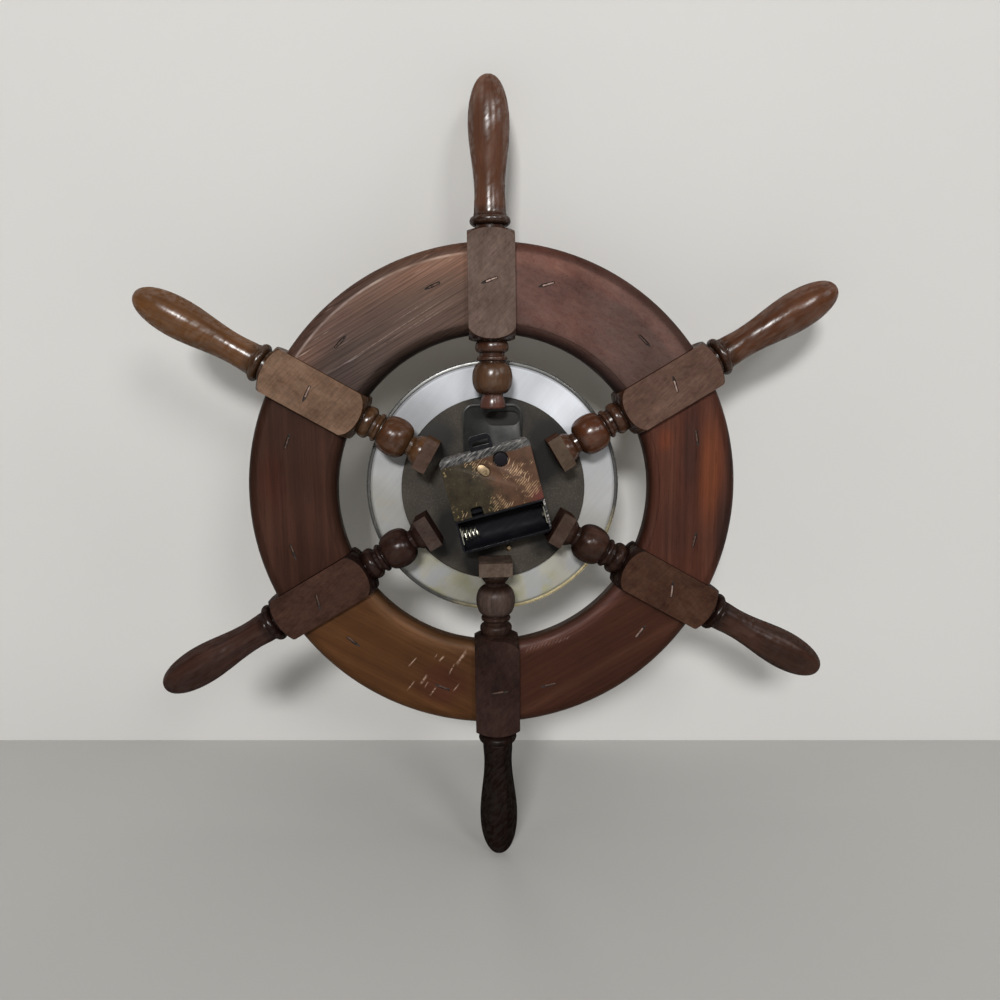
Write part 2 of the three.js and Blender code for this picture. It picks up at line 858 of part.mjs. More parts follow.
// Where the train's arbors stand in the case, counted from the hand shaft
function trainPlaces() {
  const shaft = { x: 0, z: 0 };
  const knob = { x: knobX, z: knobZ };
  const third = polar(thirdDistance, thirdDirection);
  const fifth = polar(fifthDistance, fifthDirection);
  const onward = polar(fifthDistance, rotorDirection);
  const rotor = { x: fifth.x + onward.x, z: fifth.z + onward.z };
  const span = Math.hypot(knobX, knobZ);
  const along = (span ** 2 + minuteDistance ** 2 - settingDistance ** 2) / (2 * span);
  const aside = Math.sqrt(minuteDistance ** 2 - along ** 2);
  const minute = {
    x: (knobX * along + knobZ * aside) / span,
    z: (knobZ * along - knobX * aside) / span,
  };
  return { shaft, knob, third, fifth, rotor, minute };
}

function addAt(parent, name, geometry, material, place) {
  addMesh(parent, name, geometry, material).position.set(place.x, 0, place.z);
}

function addTrain(parent) {
  const { shaft, knob, third, fifth, rotor, minute } = trainPlaces();
  const pivotFront = floorInside + seatGap;
  const pivotBack = bridgeBack - seatGap;
  const layerEnd = (layer) => layer + wheelThickness;
  const arbor = (front, back) => rod(arborRadius, front, back, arborSides);

  const secondPhase = direction(shaft, fifth);
  const secondPinionPhase = direction(shaft, third);
  const secondWheel = joined(
    gear(secondTeeth, secondModule, secondPhase, secondLayer, layerEnd(secondLayer)),
    pinion(secondPinionPhase, thirdModule, thirdLayer),
    rod(secondArborRadius, secondArborEnd, thirdLayer, shaftSides),
    arbor(thirdLayer, pivotBack),
  );
  addAt(parent, 'second_wheel', secondWheel, whitePlasticFinish(), shaft);

  const fifthPhase = inMesh(secondPhase, secondTeeth, direction(shaft, fifth), pinionTeeth);
  const fifthWheelPhase = direction(fifth, rotor);
  const fifthWheel = joined(
    gear(fifthTeeth, rotorModule, fifthWheelPhase, fifthLayer, layerEnd(fifthLayer)),
    pinion(fifthPhase, secondModule, secondLayer),
    arbor(pivotFront, pivotBack),
  );
  addAt(parent, 'fifth_wheel', fifthWheel, whitePlasticFinish(), fifth);

  const rotorPhase = inMesh(fifthWheelPhase, fifthTeeth, direction(fifth, rotor), pinionTeeth);
  const rotorBody = joined(
    pinion(rotorPhase, rotorModule, fifthLayer),
    rod(rotorRadius, rotorLayer, rotorLayer + rotorHeight, shaftSides),
    arbor(pivotFront, pivotBack),
  );
  addAt(parent, 'rotor', rotorBody, finish('#3b3b40', 0.4, 0.6), rotor);

  const thirdPhase = inMesh(secondPinionPhase, pinionTeeth, direction(shaft, third), thirdTeeth);
  const centrePhase = direction(shaft, third);
  const thirdPinionPhase = inMesh(centrePhase, centreTeeth, direction(shaft, third), pinionTeeth);
  const thirdWheel = joined(
    gear(thirdTeeth, thirdModule, thirdPhase, thirdLayer, layerEnd(thirdLayer)),
    pinion(thirdPinionPhase, centreModule, centreLayer),
    arbor(pivotFront, pivotBack),
  );
  addAt(parent, 'third_wheel', thirdWheel, whitePlasticFinish(), third);

  const cannonTop = layerEnd(centreLayer);
  const centreWheel = gear(
    centreTeeth,
    centreModule,
    centrePhase,
    centreLayer,
    cannonTop,
    minutePipeRadius + seatGap,
  );
  addAt(parent, 'centre_wheel', centreWheel, brassFinish(), shaft);

  const cannonPhase = direction(shaft, minute);
  const cannonFront = motionLayer;
  const cannonPinion = joined(
    gear(cannonTeeth, motionModule, cannonPhase, cannonFront, layerEnd(motionLayer), minuteBore),
    tube(minuteBore, minutePipeRadius, minutePipeEnd, cannonTop, shaftSides),
  );
  addAt(parent, 'cannon_pinion', cannonPinion, brassFinish(), shaft);

  const minutePhase = inMesh(cannonPhase, cannonTeeth, direction(shaft, minute), minuteTeeth);
  const minutePinionPhase = direction(minute, shaft);
  const minuteWheel = joined(
    gear(minuteTeeth, motionModule, minutePhase, motionLayer, layerEnd(motionLayer)),
    pinion(minutePinionPhase, hourModule, hourLayer),
    arbor(pivotFront, pivotBack),
  );
  addAt(parent, 'minute_wheel', minuteWheel, whitePlasticFinish(), minute);

  const hourPhase = inMesh(minutePinionPhase, pinionTeeth, direction(minute, shaft), hourTeeth);
  const hourWheel = joined(
    gear(hourTeeth, hourModule, hourPhase, hourLayer, layerEnd(hourLayer), hourBore),
    tube(hourBore, hourPipeRadius, hourPipeEnd, hourLayer + weldDepth, shaftSides),
  );
  addAt(parent, 'hour_wheel', hourWheel, whitePlasticFinish(), shaft);

  const settingPhase = inMesh(minutePhase, minuteTeeth, direction(minute, knob), settingTeeth);
  const settingWheel = joined(
    gear(settingTeeth, motionModule, settingPhase, motionLayer, layerEnd(motionLayer)),
    arbor(pivotFront, motionLayer),
    rod(knobShaftRadius, motionLayer, coverBack, shaftSides),
  );
  addAt(parent, 'setting_wheel', settingWheel, whitePlasticFinish(), knob);
}

function knobBody() {
  const outline = new THREE.Shape();
  for (let step = 0; step < 2 * knobFlutes; step += 1) {
    const angle = (step * fullTurn) / (2 * knobFlutes);
    const radius = knobRadius - (step % 2) * knobFluteDepth;
    const draw = step === 0 ? 'moveTo' : 'lineTo';
    outline[draw](radius * Math.cos(angle), radius * Math.sin(angle));
  }
  const front = coverFront + seatGap;
  const shaftRoom = rod(knobShaftRadius + seatGap, front - overcut, coverBack + seatGap, shaftSides);
  return cut(plate(outline, front, coverFront + seatGap + knobHeight), shaftRoom);
}

function coverOutline() {
  const outline = roundedRectangle(
    caseLeft,
    caseRight,
    trainRoomBottom,
    caseTop,
    coverLowerRound,
    caseRound,
  );
  outline.holes.push(roundHole(knobRadius + seatGap, knobFlutes, knobX, knobZ));
  return outline;
}

function clipPlate(extra, front, back) {
  const outline = slotOutline(0, 0, clipLength + 2 * extra, clipWidth + 2 * extra, THREE.Shape);
  return plate(outline, front, back, plainSteps).rotateY(clipTilt).translate(clipX, 0, clipZ);
}

function addCover(parent) {
  const sheet = plate(coverOutline(), coverFront, coverBack);
  const notch = roundedRectangle(
    notchX - notchWidth / 2,
    notchX + notchWidth / 2,
    trainRoomBottom - notchHeight,
    trainRoomBottom + notchHeight,
    notchRound,
  );
  const front = coverFront - overcut;
  const back = coverBack + overcut;
  const cover = cut(sheet, plate(notch, front, back, coarseSteps), clipPlate(seatGap, front, back));
  addMesh(parent, 'back_cover', cover, finish('#7d5b3c', 0.45, 0.3));
  const clip = clipPlate(0, coverFront + seatGap, coverFront + seatGap + clipThickness);
  addMesh(parent, 'cover_clip', clip, brassFinish());
  addAt(parent, 'set_knob', knobBody(), blackPlasticFinish(), { x: knobX, z: knobZ });
}

function bayCutter() {
  const outline = new THREE.Shape();
  const floor = floorInside;
  const round = bayFloorRound;
  outline.moveTo(caseBack + overcut, bayTop);
  outline.lineTo(floor + round, bayTop);
  outline.absarc(floor + round, bayTop - round, round, quarterTurn, Math.PI);
  outline.absarc(floor + round, bayBottom + round, round, Math.PI, 3 * quarterTurn);
  outline.lineTo(caseBack + overcut, bayBottom);
  const options = { depth: bayRight - bayLeft, bevelEnabled: false, curveSegments: plainSteps };
  const geometry = new THREE.ExtrudeGeometry(outline, options);
  const toDepthAndHeight = new THREE.Matrix4().makeBasis(
    new THREE.Vector3(0, 1, 0),
    new THREE.Vector3(0, 0, 1),
    new THREE.Vector3(1, 0, 0),
  );
  geometry.applyMatrix4(toDepthAndHeight);
  geometry.translate(bayLeft, 0, 0);
  return geometry;
}

function postPlaces() {
  return [
    { x: bridgeLeft + postInset, z: bridgeBottom + postInset, back: bridgeFront - seatGap },
    { x: bridgeRight - postInset, z: bridgeBottom + postInset, back: bridgeFront - seatGap },
    { x: bridgeLeft + postInset, z: bridgeTop - postInset, back: bridgeFront - seatGap },
  ];
}

function statorPlaces() {
  const { rotor } = trainPlaces();
  const side = statorReach - statorArm / 2;
  const back = statorBack - statorThickness - seatGap;
  return [rotor.x - side, rotor.x + side].map((x) => ({ x, z: rotor.z + coilRise, back }));
}

function caseBody() {
  const shell = plate(
    roundedRectangle(caseLeft, caseRight, caseBottom, caseTop, caseRound),
    caseFront,
    caseBack,
  );
  const room = plate(
    roundedRectangle(
      caseLeft + caseWall,
      caseRight - caseWall,
      trainRoomBottom,
      caseTop - caseWall,
      caseRound - caseWall,
    ),
    floorInside,
    caseBack + overcut,
    coarseSteps,
  );
  const lidSeat = box(
    caseLeft - overcut,
    caseRight + overcut,
    rebate,
    caseBack + overcut,
    trainRoomBottom - seatGap,
    caseTop + overcut,
  );
  const bailBack = rebate;
  const bailFront = bailBack - bailThickness;
  const bailTop = caseTop + bailHeight;
  const half = bailWidth / 2;
  const bail = plate(
    roundedRectangle(bailX - half, bailX + half, caseTop - weldDepth, bailTop, weldDepth, bailBridge),
    bailFront,
    bailBack,
    plainSteps,
  );
  const slotHalf = bailSlotWidth / 2;
  const slotTop = bailTop - bailBridge;
  const slot = box(
    bailX - slotHalf,
    bailX + slotHalf,
    bailFront - overcut,
    bailBack + overcut,
    slotTop - bailSlotHeight,
    slotTop,
  );
  const shaftOutline = new THREE.Shape(flatSided(bushHole, shaftSides));
  const shaftHole = plate(shaftOutline, caseFront - overcut, floorInside + overcut);
  const { third, fifth, rotor, minute, knob } = trainPlaces();
  const bossPlaces = [third, fifth, rotor, minute, knob];
  const bossBack = floorInside + bossHeight;
  const bossRadius = arborRadius + seatGap + bossWall;
  const foot = floorInside - weldDepth;
  const bosses = bossPlaces.map(({ x, z }) => rod(bossRadius, foot, bossBack, arborSides, x, z));
  const socketRadius = arborRadius + seatGap;
  const socketBack = bossBack + overcut;
  const sockets = bossPlaces.map(({ x, z }) =>
    rod(socketRadius, floorInside, socketBack, arborSides, x, z));
  const posts = [...postPlaces(), ...statorPlaces()].map(({ x, z, back }) =>
    rod(postRadius, foot, back, arborSides, x, z));
  const hollow = cut(shell, room, lidSeat, bayCutter(), shaftHole);
  return cut(joined(hollow, bail, ...posts, ...bosses), slot, ...sockets);
}

// Helix of the battery spring: a closed tube of wire whose radius shrinks towards its free end
function springCentre(turn) {
  const share = turn / springTurns;
  const radius = lerp(springLarge, springSmall, share);
  const angle = turn * fullTurn;
  return new THREE.Vector3(-springLength * share, radius * Math.cos(angle), radius * Math.sin(angle));
}

function springBody() {
  const steps = springTurns * springStepsPerTurn;
  const positions = [];
  const index = [];
  for (let step = 0; step <= steps; step += 1) {
    const turn = step / springStepsPerTurn;
    const centre = springCentre(turn);
    const outward = new THREE.Vector3(0, centre.y, centre.z).normalize();
    for (let side = 0; side < springWireSides; side += 1) {
      const angle = (side * fullTurn) / springWireSides;
      const offset = outward.clone().multiplyScalar(springWire * Math.cos(angle));
      positions.push(
        centre.x + springWire * Math.sin(angle),
        centre.y + offset.y,
        centre.z + offset.z,
      );
    }
  }
  for (let step = 0; step < steps; step += 1) {
    for (let side = 0; side < springWireSides; side += 1) {
      const next = (side + 1) % springWireSides;
      const a = step * springWireSides + side;
      const b = step * springWireSides + next;
      const c = a + springWireSides;
      const d = b + springWireSides;
      index.push(a, b, c, b, d, c);
    }
  }
  const last = steps * springWireSides;
  for (let side = 1; side < springWireSides - 1; side += 1) {
    index.push(0, side + 1, side);
    index.push(last, last + side, last + side + 1);
  }
  const geometry = new THREE.BufferGeometry();
  geometry.setAttribute('position', new THREE.Float32BufferAttribute(positions, 3));
  geometry.setIndex(index);
  return outwardFacing(geometry);
}

// Turns every face round where the closed surface would enclose a negative volume
function outwardFacing(geometry) {
  const points = geometry.attributes.position;
  const order = geometry.index.array;
  const corner = (at) => new THREE.Vector3().fromBufferAttribute(points, order[at]);
  let volume = 0;
  for (let at = 0; at < order.length; at += 3) {
    volume += corner(at).dot(corner(at + 1).cross(corner(at + 2)));
  }
  if (volume < 0) {
    for (let at = 0; at < order.length; at += 3) {
      [order[at], order[at + 1]] = [order[at + 1], order[at]];
    }
  }
  return geometry;
}

function leastSpringGap() {
  let least = Infinity;
  const steps = springTurns * springStepsPerTurn;
  for (let first = 0; first <= steps; first += 1) {
    for (let other = first + springStepsPerTurn / 2; other <= steps; other += 1) {
      const a = springCentre(first / springStepsPerTurn);
      const b = springCentre(other / springStepsPerTurn);
      least = Math.min(least, a.distanceTo(b) - 2 * springWire);
    }
  }
  return least;
}

function addContacts(parent) {
  const axisDepth = floorInside + (caseBack - floorInside) / 2;
  const half = contactWidth / 2;
  const springPlate = bayRight - seatGap - contactThickness;
  const springSeat = box(
    springPlate,
    springPlate + contactThickness,
    axisDepth - half,
    axisDepth + half,
    bayMiddle - half,
    bayMiddle + half,
  );
  const coil = springBody().translate(springPlate - springWire / 2, axisDepth, bayMiddle);
  addMesh(parent, 'battery_spring', joined(springSeat, coil), brassFinish());

  const plateLeft = bayLeft + seatGap;
  const plateRight = plateLeft + contactThickness;
  const sheet = box(
    plateLeft,
    plateRight,
    axisDepth - half,
    axisDepth + half,
    bayMiddle - half,
    bayMiddle + half,
  );
  const dimple = revolved([
    [0, 0],
    [contactDimpleRadius, 0],
    [contactDimpleRadius / 2, contactThickness + contactDimpleHeight],
    [0, contactThickness + contactDimpleHeight],
  ], shaftSides);
  dimple.rotateZ(-quarterTurn).translate(plateLeft, axisDepth, bayMiddle);
  addMesh(parent, 'battery_plate', joined(sheet, dimple), steelFinish());
  console.log(`least gap of the battery spring to itself: ${leastSpringGap().toFixed(2)} mm`);
}

function addMotor(parent) {
  const { rotor } = trainPlaces();
  const outline = new THREE.Shape();
  const armTop = rotor.z + coilRise + coilCoreWidth / 2;
  const barTop = rotor.z + statorHalfHeight;
  const barBottom = rotor.z - statorHalfHeight;
  const outer = statorReach;
  const inner = statorReach - statorArm;
  outline.moveTo(rotor.x - outer, barBottom);
  outline.lineTo(rotor.x + outer, barBottom);
  outline.lineTo(rotor.x + outer, armTop);
  outline.lineTo(rotor.x + inner, armTop);
  outline.lineTo(rotor.x + inner, barTop);
  outline.lineTo(rotor.x - inner, barTop);
  outline.lineTo(rotor.x - inner, armTop);
  outline.lineTo(rotor.x - outer, armTop);
  outline.holes.push(roundHole(rotorRadius + rotorAirGap, shaftSides, rotor.x, rotor.z));
  const stator = plate(outline, statorBack - statorThickness, statorBack);
  addMesh(parent, 'stator', stator, steelFinish());

  const half = inner - layerGap;
  const winding = revolved([
    [0, -half],
    [coilFlangeRadius, -half],
    [coilFlangeRadius, -half + coilFlange],
    [coilRadius, -half + coilFlange],
    [coilRadius, half - coilFlange],
    [coilFlangeRadius, half - coilFlange],
    [coilFlangeRadius, half],
    [0, half],
  ], coilSides);
  const coilZ = rotor.z + coilRise;
  const coreFront = statorBack + seatGap;
  const coreBack = coreFront + statorThickness;
  winding.rotateZ(quarterTurn).translate(rotor.x, statorBack, coilZ);
  const core = box(
    rotor.x - outer,
    rotor.x + outer,
    coreFront,
    coreBack,
    coilZ - coilCoreWidth / 2,
    coilZ + coilCoreWidth / 2,
  );
  addMesh(parent, 'coil', joined(winding, core), finish('#b0562c', 0.35, 0.8));
}

function addFrame(parent) {
  const { shaft, third, fifth, rotor, minute } = trainPlaces();
  const outline = roundedRectangle(bridgeLeft, bridgeRight, bridgeBottom, bridgeTop, postInset);
  for (const { x, z } of [shaft, third, fifth, rotor, minute]) {
    outline.holes.push(roundHole(arborRadius + seatGap, arborSides, x, z));
  }
  const bridge = plate(outline, bridgeFront, bridgeBack, plainSteps);
  addMesh(parent, 'train_bridge', bridge, blackPlasticFinish());
  const boardBack = boardFront + boardThickness;
  const board = box(boardLeft, boardRight, boardFront, boardBack, boardBottom, boardTop);
  addMesh(parent, 'circuit_board', board, finish('#2f5a3a', 0.5, 0));
  const crystalBack = boardFront - seatGap;
  const crystal = new THREE.CylinderGeometry(crystalRadius, crystalRadius, crystalLength, arborSides);
  crystal.rotateX(quarterTurn);
  const crystalX = (boardLeft + bridgeLeft) / 2;
  crystal.translate(crystalX, crystalBack - crystalRadius, (boardTop + boardBottom) / 2);
  addMesh(parent, 'quartz_crystal', crystal, steelFinish());
}

function addMovement(parent) {
  const movement = new THREE.Group();
  movement.rotation.y = caseTurn;
  parent.add(movement);
  addMesh(movement, 'movement_case', caseBody(), blackPlasticFinish());
  addCover(movement);
  addContacts(movement);
  addTrain(movement);
  addMotor(movement);
  addFrame(movement);
}

const clock = new THREE.Group();
clock.position.y = depthShift;
addWheel(clock);
addHub(clock);
addBracket(clock);
addHousing(clock);
addClamp(clock);
addHands(clock);
addMovement(clock);

const model = new THREE.Group();
model.add(clock);

export default model;
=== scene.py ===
import json
import math

import bpy
from mathutils import Matrix, Vector

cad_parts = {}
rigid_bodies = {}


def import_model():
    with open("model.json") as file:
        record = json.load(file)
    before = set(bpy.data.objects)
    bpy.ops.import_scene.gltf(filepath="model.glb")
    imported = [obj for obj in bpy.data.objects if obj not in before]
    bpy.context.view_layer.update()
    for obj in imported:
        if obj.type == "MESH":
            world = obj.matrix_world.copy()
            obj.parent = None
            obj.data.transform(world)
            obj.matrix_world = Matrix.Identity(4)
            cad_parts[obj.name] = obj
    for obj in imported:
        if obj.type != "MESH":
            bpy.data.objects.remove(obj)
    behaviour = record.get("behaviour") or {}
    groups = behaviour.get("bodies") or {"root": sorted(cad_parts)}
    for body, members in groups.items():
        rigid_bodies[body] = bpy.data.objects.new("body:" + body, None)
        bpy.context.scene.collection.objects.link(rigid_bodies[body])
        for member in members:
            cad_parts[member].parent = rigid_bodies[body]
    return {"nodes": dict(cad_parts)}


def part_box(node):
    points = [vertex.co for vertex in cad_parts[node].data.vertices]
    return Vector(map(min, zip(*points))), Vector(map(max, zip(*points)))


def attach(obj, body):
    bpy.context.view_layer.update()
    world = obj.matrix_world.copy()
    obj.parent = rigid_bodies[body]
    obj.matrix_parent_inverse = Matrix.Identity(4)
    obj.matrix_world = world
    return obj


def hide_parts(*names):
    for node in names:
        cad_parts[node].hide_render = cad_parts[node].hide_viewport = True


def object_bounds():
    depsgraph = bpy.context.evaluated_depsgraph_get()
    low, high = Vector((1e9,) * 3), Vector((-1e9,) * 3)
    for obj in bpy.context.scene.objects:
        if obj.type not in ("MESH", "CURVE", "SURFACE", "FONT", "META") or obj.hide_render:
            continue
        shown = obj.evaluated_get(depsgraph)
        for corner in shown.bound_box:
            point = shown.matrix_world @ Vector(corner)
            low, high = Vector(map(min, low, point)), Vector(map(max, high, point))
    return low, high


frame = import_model()
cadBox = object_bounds()
nodes = frame["nodes"]
mm = 0.001
fullTurn = 2 * math.pi

# Depth of the spokes' axes in the frame, in millimetres: all depths below are counted from it
lowSpoke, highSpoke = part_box("spoke_12")
axisDepth = (lowSpoke.y + highSpoke.y) / 2 / mm
hourAngle = math.radians(30)


# small helpers that stand for what is done by hand in the window

def deselectAll():
    if bpy.context.object and bpy.context.object.mode != "OBJECT":
        bpy.ops.object.mode_set(mode="OBJECT")
    bpy.ops.object.select_all(action="DESELECT")


def selectOnly(piece):
    deselectAll()
    piece.select_set(True)
    bpy.context.view_layer.objects.active = piece


def applyPlace(piece):
    selectOnly(piece)
    bpy.ops.object.transform_apply(location=True, rotation=True, scale=True)
    return piece


def editAll(piece):
    selectOnly(piece)
    bpy.ops.object.mode_set(mode="EDIT")
    bpy.ops.mesh.select_all(action="SELECT")


def leaveEdit():
    bpy.ops.object.mode_set(mode="OBJECT")


def cleanUp(piece):
    editAll(piece)
    bpy.ops.mesh.remove_doubles(threshold=0.01 * mm)
    bpy.ops.mesh.normals_make_consistent(inside=False)
    leaveEdit()
    return piece


def smooth(piece, degrees):
    selectOnly(piece)
    bpy.ops.object.shade_smooth_by_angle(angle=math.radians(degrees))
    return piece


def named(piece, name):
    piece.name = name
    piece.data.name = name
    return piece


def addBlock(low, high):
    deselectAll()
    low, high = Vector(low) * mm, Vector(high) * mm
    bpy.ops.mesh.primitive_cube_add(size=1, location=(low + high) / 2, scale=high - low)
    return applyPlace(bpy.context.object)


# A shape on the lathe: pairs of radius and distance along the axis, spun round that axis
def turned(profile, steps, axis="Y", closed=False):
    along = Vector((0, 1, 0)) if axis == "Y" else Vector((0, 0, 1))
    points = [(Vector((radius, 0, 0)) + along * distance) * mm for radius, distance in profile]
    if closed:
        points.append(points[0])
    deselectAll()
    bpy.ops.mesh.primitive_plane_add(size=mm, location=points[0])
    piece = applyPlace(bpy.context.object)
    editAll(piece)
    bpy.ops.mesh.merge(type="CENTER")
    for start, end in zip(points, points[1:]):
        bpy.ops.mesh.extrude_region_move(TRANSFORM_OT_translate={"value": end - start})
    bpy.ops.mesh.select_all(action="SELECT")
    bpy.ops.mesh.remove_doubles(threshold=0.000001)
    bpy.ops.mesh.select_all(action="SELECT")
    bpy.ops.mesh.spin(steps=steps, angle=fullTurn, center=(0, 0, 0), axis=along)
    bpy.ops.mesh.select_all(action="SELECT")
    bpy.ops.mesh.remove_doubles(threshold=0.000002)
    bpy.ops.mesh.normals_make_consistent(inside=False)
    leaveEdit()
    return piece


def moved(piece, x=0, y=0, z=0):
    piece.location = Vector((x, y, z)) * mm
    return applyPlace(piece)


def turnedTo(piece, angle):
    piece.rotation_euler = (0, angle, 0)
    return applyPlace(piece)


def copied(piece, name):
    selectOnly(piece)
    bpy.ops.object.duplicate(linked=False)
    return named(bpy.context.object, name)


# The tool is used up by the cut or the join
def combined(piece, tool, operation):
    selectOnly(piece)
    modifier = piece.modifiers.new("cut", "BOOLEAN")
    modifier.operation = operation
    modifier.solver = "EXACT"
    modifier.object = tool
    bpy.ops.object.modifier_apply(modifier=modifier.name)
    bpy.data.objects.remove(tool)
    return piece


def softened(piece, width, degrees, segments):
    selectOnly(piece)
    modifier = piece.modifiers.new("edges", "BEVEL")
    modifier.width = width * mm
    modifier.segments = segments
    modifier.limit_method = "ANGLE"
    modifier.angle_limit = math.radians(degrees)
    modifier.use_clamp_overlap = True
    bpy.ops.object.modifier_apply(modifier=modifier.name)
    return piece


def joinAll(pieces, name):
    deselectAll()
    for piece in pieces:
        piece.select_set(True)
    bpy.context.view_layer.objects.active = pieces[0]
    bpy.ops.object.join()
    return named(bpy.context.object, name)


# Flat faces keep their own shading next to small cuts
def evened(piece):
    selectOnly(piece)
    modifier = piece.modifiers.new("shading", "WEIGHTED_NORMAL")
    modifier.weight = 80
    modifier.keep_sharp = True
    bpy.ops.object.modifier_apply(modifier=modifier.name)
    return piece


# A merged copy of a node from the frame, with its sharp edges broken
def edgeBroken(node, name, width, degrees, segments):
    piece = copied(nodes[node], name)
    for key in list(piece.keys()):
        del piece[key]
    piece.parent = None
    piece.matrix_world = Matrix.Identity(4)
    piece.data.materials.clear()
    editAll(piece)
    bpy.ops.mesh.remove_doubles(threshold=0.000005)
    bpy.ops.mesh.select_all(action="SELECT")
    bpy.ops.mesh.dissolve_limited(angle_limit=math.radians(1))
    leaveEdit()
    softened(piece, width, degrees, segments)
    return smooth(piece, degrees)


def paint(piece, *materials):
    piece.data.materials.clear()
    for material in materials:
        piece.data.materials.append(material)
    return piece


# Faces that the test picks get the piece's other material
def paintFaces(piece, slotIndex, test):
    selectOnly(piece)
    bpy.ops.object.mode_set(mode="EDIT")
    bpy.ops.mesh.select_all(action="DESELECT")
    leaveEdit()
    for face in piece.data.polygons:
        face.select = test(face.center / mm, face.normal)
    bpy.ops.object.mode_set(mode="EDIT")
    piece.active_material_index = slotIndex
    bpy.ops.object.material_slot_assign()
    leaveEdit()


def place(piece, body, slot, *replaced):
    applyPlace(piece)
    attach(piece, body)
    if replaced:
        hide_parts(*replaced)
    return piece


# small helpers for materials

def startMaterial(name):
    material = bpy.data.materials.new(name)
    material.use_nodes = True
    tree = material.node_tree
    tree.nodes.clear()
    output = tree.nodes.new("ShaderNodeOutputMaterial")
    shader = tree.nodes.new("ShaderNodeBsdfPrincipled")
    tree.links.new(shader.outputs[0], output.inputs[0])
    return material, tree, shader


def feed(tree, socket, value):
    if isinstance(value, bpy.types.NodeSocket):
        tree.links.new(value, socket)
    elif isinstance(value, (tuple, list)) and len(value) == 3 and socket.type == "RGBA":
        socket.default_value = (*value, 1)
    else:
        socket.default_value = value


def addNode(tree, kind, inputs=None, **settings):
    node = tree.nodes.new(kind)
    for key, value in settings.items():
        setattr(node, key, value)
    for key, value in (inputs or {}).items():
        feed(tree, node.inputs[key], value)
    return node


def objectSpace(tree, turn=(0, 0, 0), scale=(1, 1, 1), shift=(0, 0, 0)):
    coordinates = addNode(tree, "ShaderNodeTexCoord").outputs["Object"]
    turnedSpace = addNode(tree, "ShaderNodeMapping", {"Vector": coordinates, "Rotation": turn})
    mapping = addNode(tree, "ShaderNodeMapping",
                      {"Vector": turnedSpace.outputs[0], "Scale": scale, "Location": shift})
    return mapping.outputs[0]


def noise(tree, vector, scale, detail=3, roughness=0.5, distortion=0):
    node = addNode(tree, "ShaderNodeTexNoise", {
        "Vector": vector, "Scale": scale, "Detail": detail, "Roughness": roughness,
        "Distortion": distortion})
    return node.outputs["Fac"]


def ramp(tree, value, stops, interpolation="LINEAR"):
    node = addNode(tree, "ShaderNodeValToRGB", {"Fac": value})
    node.color_ramp.interpolation = interpolation
    elements = node.color_ramp.elements
    while len(elements) < len(stops):
        elements.new(0.5)
    for element, (position, color) in zip(elements, stops):
        element.position = position
        element.color = (*color, 1) if isinstance(color, tuple) else (color, color, color, 1)
    return node.outputs["Color"]


def blendColors(tree, factor, first, second, mode="MIX"):
    node = addNode(tree, "ShaderNodeMix", data_type="RGBA", blend_type=mode)
    feed(tree, node.inputs[0], factor)
    feed(tree, node.inputs[6], first)
    feed(tree, node.inputs[7], second)
    return node.outputs[2]


def shaded(tree, color, shade, amount=1.0):
    return blendColors(tree, amount, color, shade, "MULTIPLY")


def calculate(tree, operation, first, second=0.0):
    node = addNode(tree, "ShaderNodeMath", operation=operation)
    feed(tree, node.inputs[0], first)
    feed(tree, node.inputs[1], second)
    return node.outputs[0]


def times(tree, first, second):
    return calculate(tree, "MULTIPLY", first, second)


def plus(tree, first, second):
    return calculate(tree, "ADD", first, second)


# how far a pattern strays from its middle value, times an amount
def strayed(tree, pattern, amount):
    return times(tree, calculate(tree, "SUBTRACT", pattern, 0.5), amount)


def measured(tree, operation, first, second=(0, 0, 0)):
    return addNode(tree, "ShaderNodeVectorMath", {0: first, 1: second}, operation=operation).outputs["Value"]


def sides(tree, vector):
    return addNode(tree, "ShaderNodeSeparateXYZ", {"Vector": vector}).outputs


def bump(tree, height, strength, distance):
    node = addNode(tree, "ShaderNodeBump",
                   {"Height": height, "Strength": strength, "Distance": distance * mm})
    return node.outputs[0]


# colour, roughness and relief, and what is the same all over
def finish(tree, shader, color, roughness, relief, **settings):
    feed(tree, shader.inputs["Base Color"], color)
    feed(tree, shader.inputs["Roughness"], roughness)
    feed(tree, shader.inputs["Normal"], relief)
    for name, value in settings.items():
        shader.inputs[socketNames[name]].default_value = value


socketNames = {"metallic": "Metallic", "specular": "Specular IOR Level", "coatRoughness": "Coat Roughness",
               "coatIor": "Coat IOR"}


# share of a point near any of some straight strokes, each ((across, height), (across, height), width)
def strokeShare(tree, vector, strokes):
    most = 0.0
    for start, end, width in strokes:
        a, b = Vector((start[0], 0, start[1])) * mm, Vector((end[0], 0, end[1])) * mm
        along = (b - a).normalized()
        aside = Vector((-along.z, 0, along.x))
        middle = (a + b) / 2
        offsets = []
        for axis, half in ((aside, width / 2 * mm), (along, (b - a).length / 2)):
            reach = measured(tree, "DOT_PRODUCT", vector, tuple(axis))
            reach = calculate(tree, "ABSOLUTE", calculate(tree, "SUBTRACT", reach, axis.dot(middle)))
            offsets.append(calculate(tree, "SUBTRACT", 1.0, times(tree, reach, 1 / half)))
        near = calculate(tree, "MINIMUM", *offsets)
        most = calculate(tree, "MAXIMUM", near, most)
    return ramp(tree, most, [(0.0, 0.0), (0.85, 1.0)])


woodTone = 0.84  # the ring shades of every wood are taken down by this
ringReach = 230  # the ring shades are given out to this distance from the wheel's centre
gloss = {"slant": 40, "scale": 420, "front": 13, "fade": 6, "frontShare": 0.4}


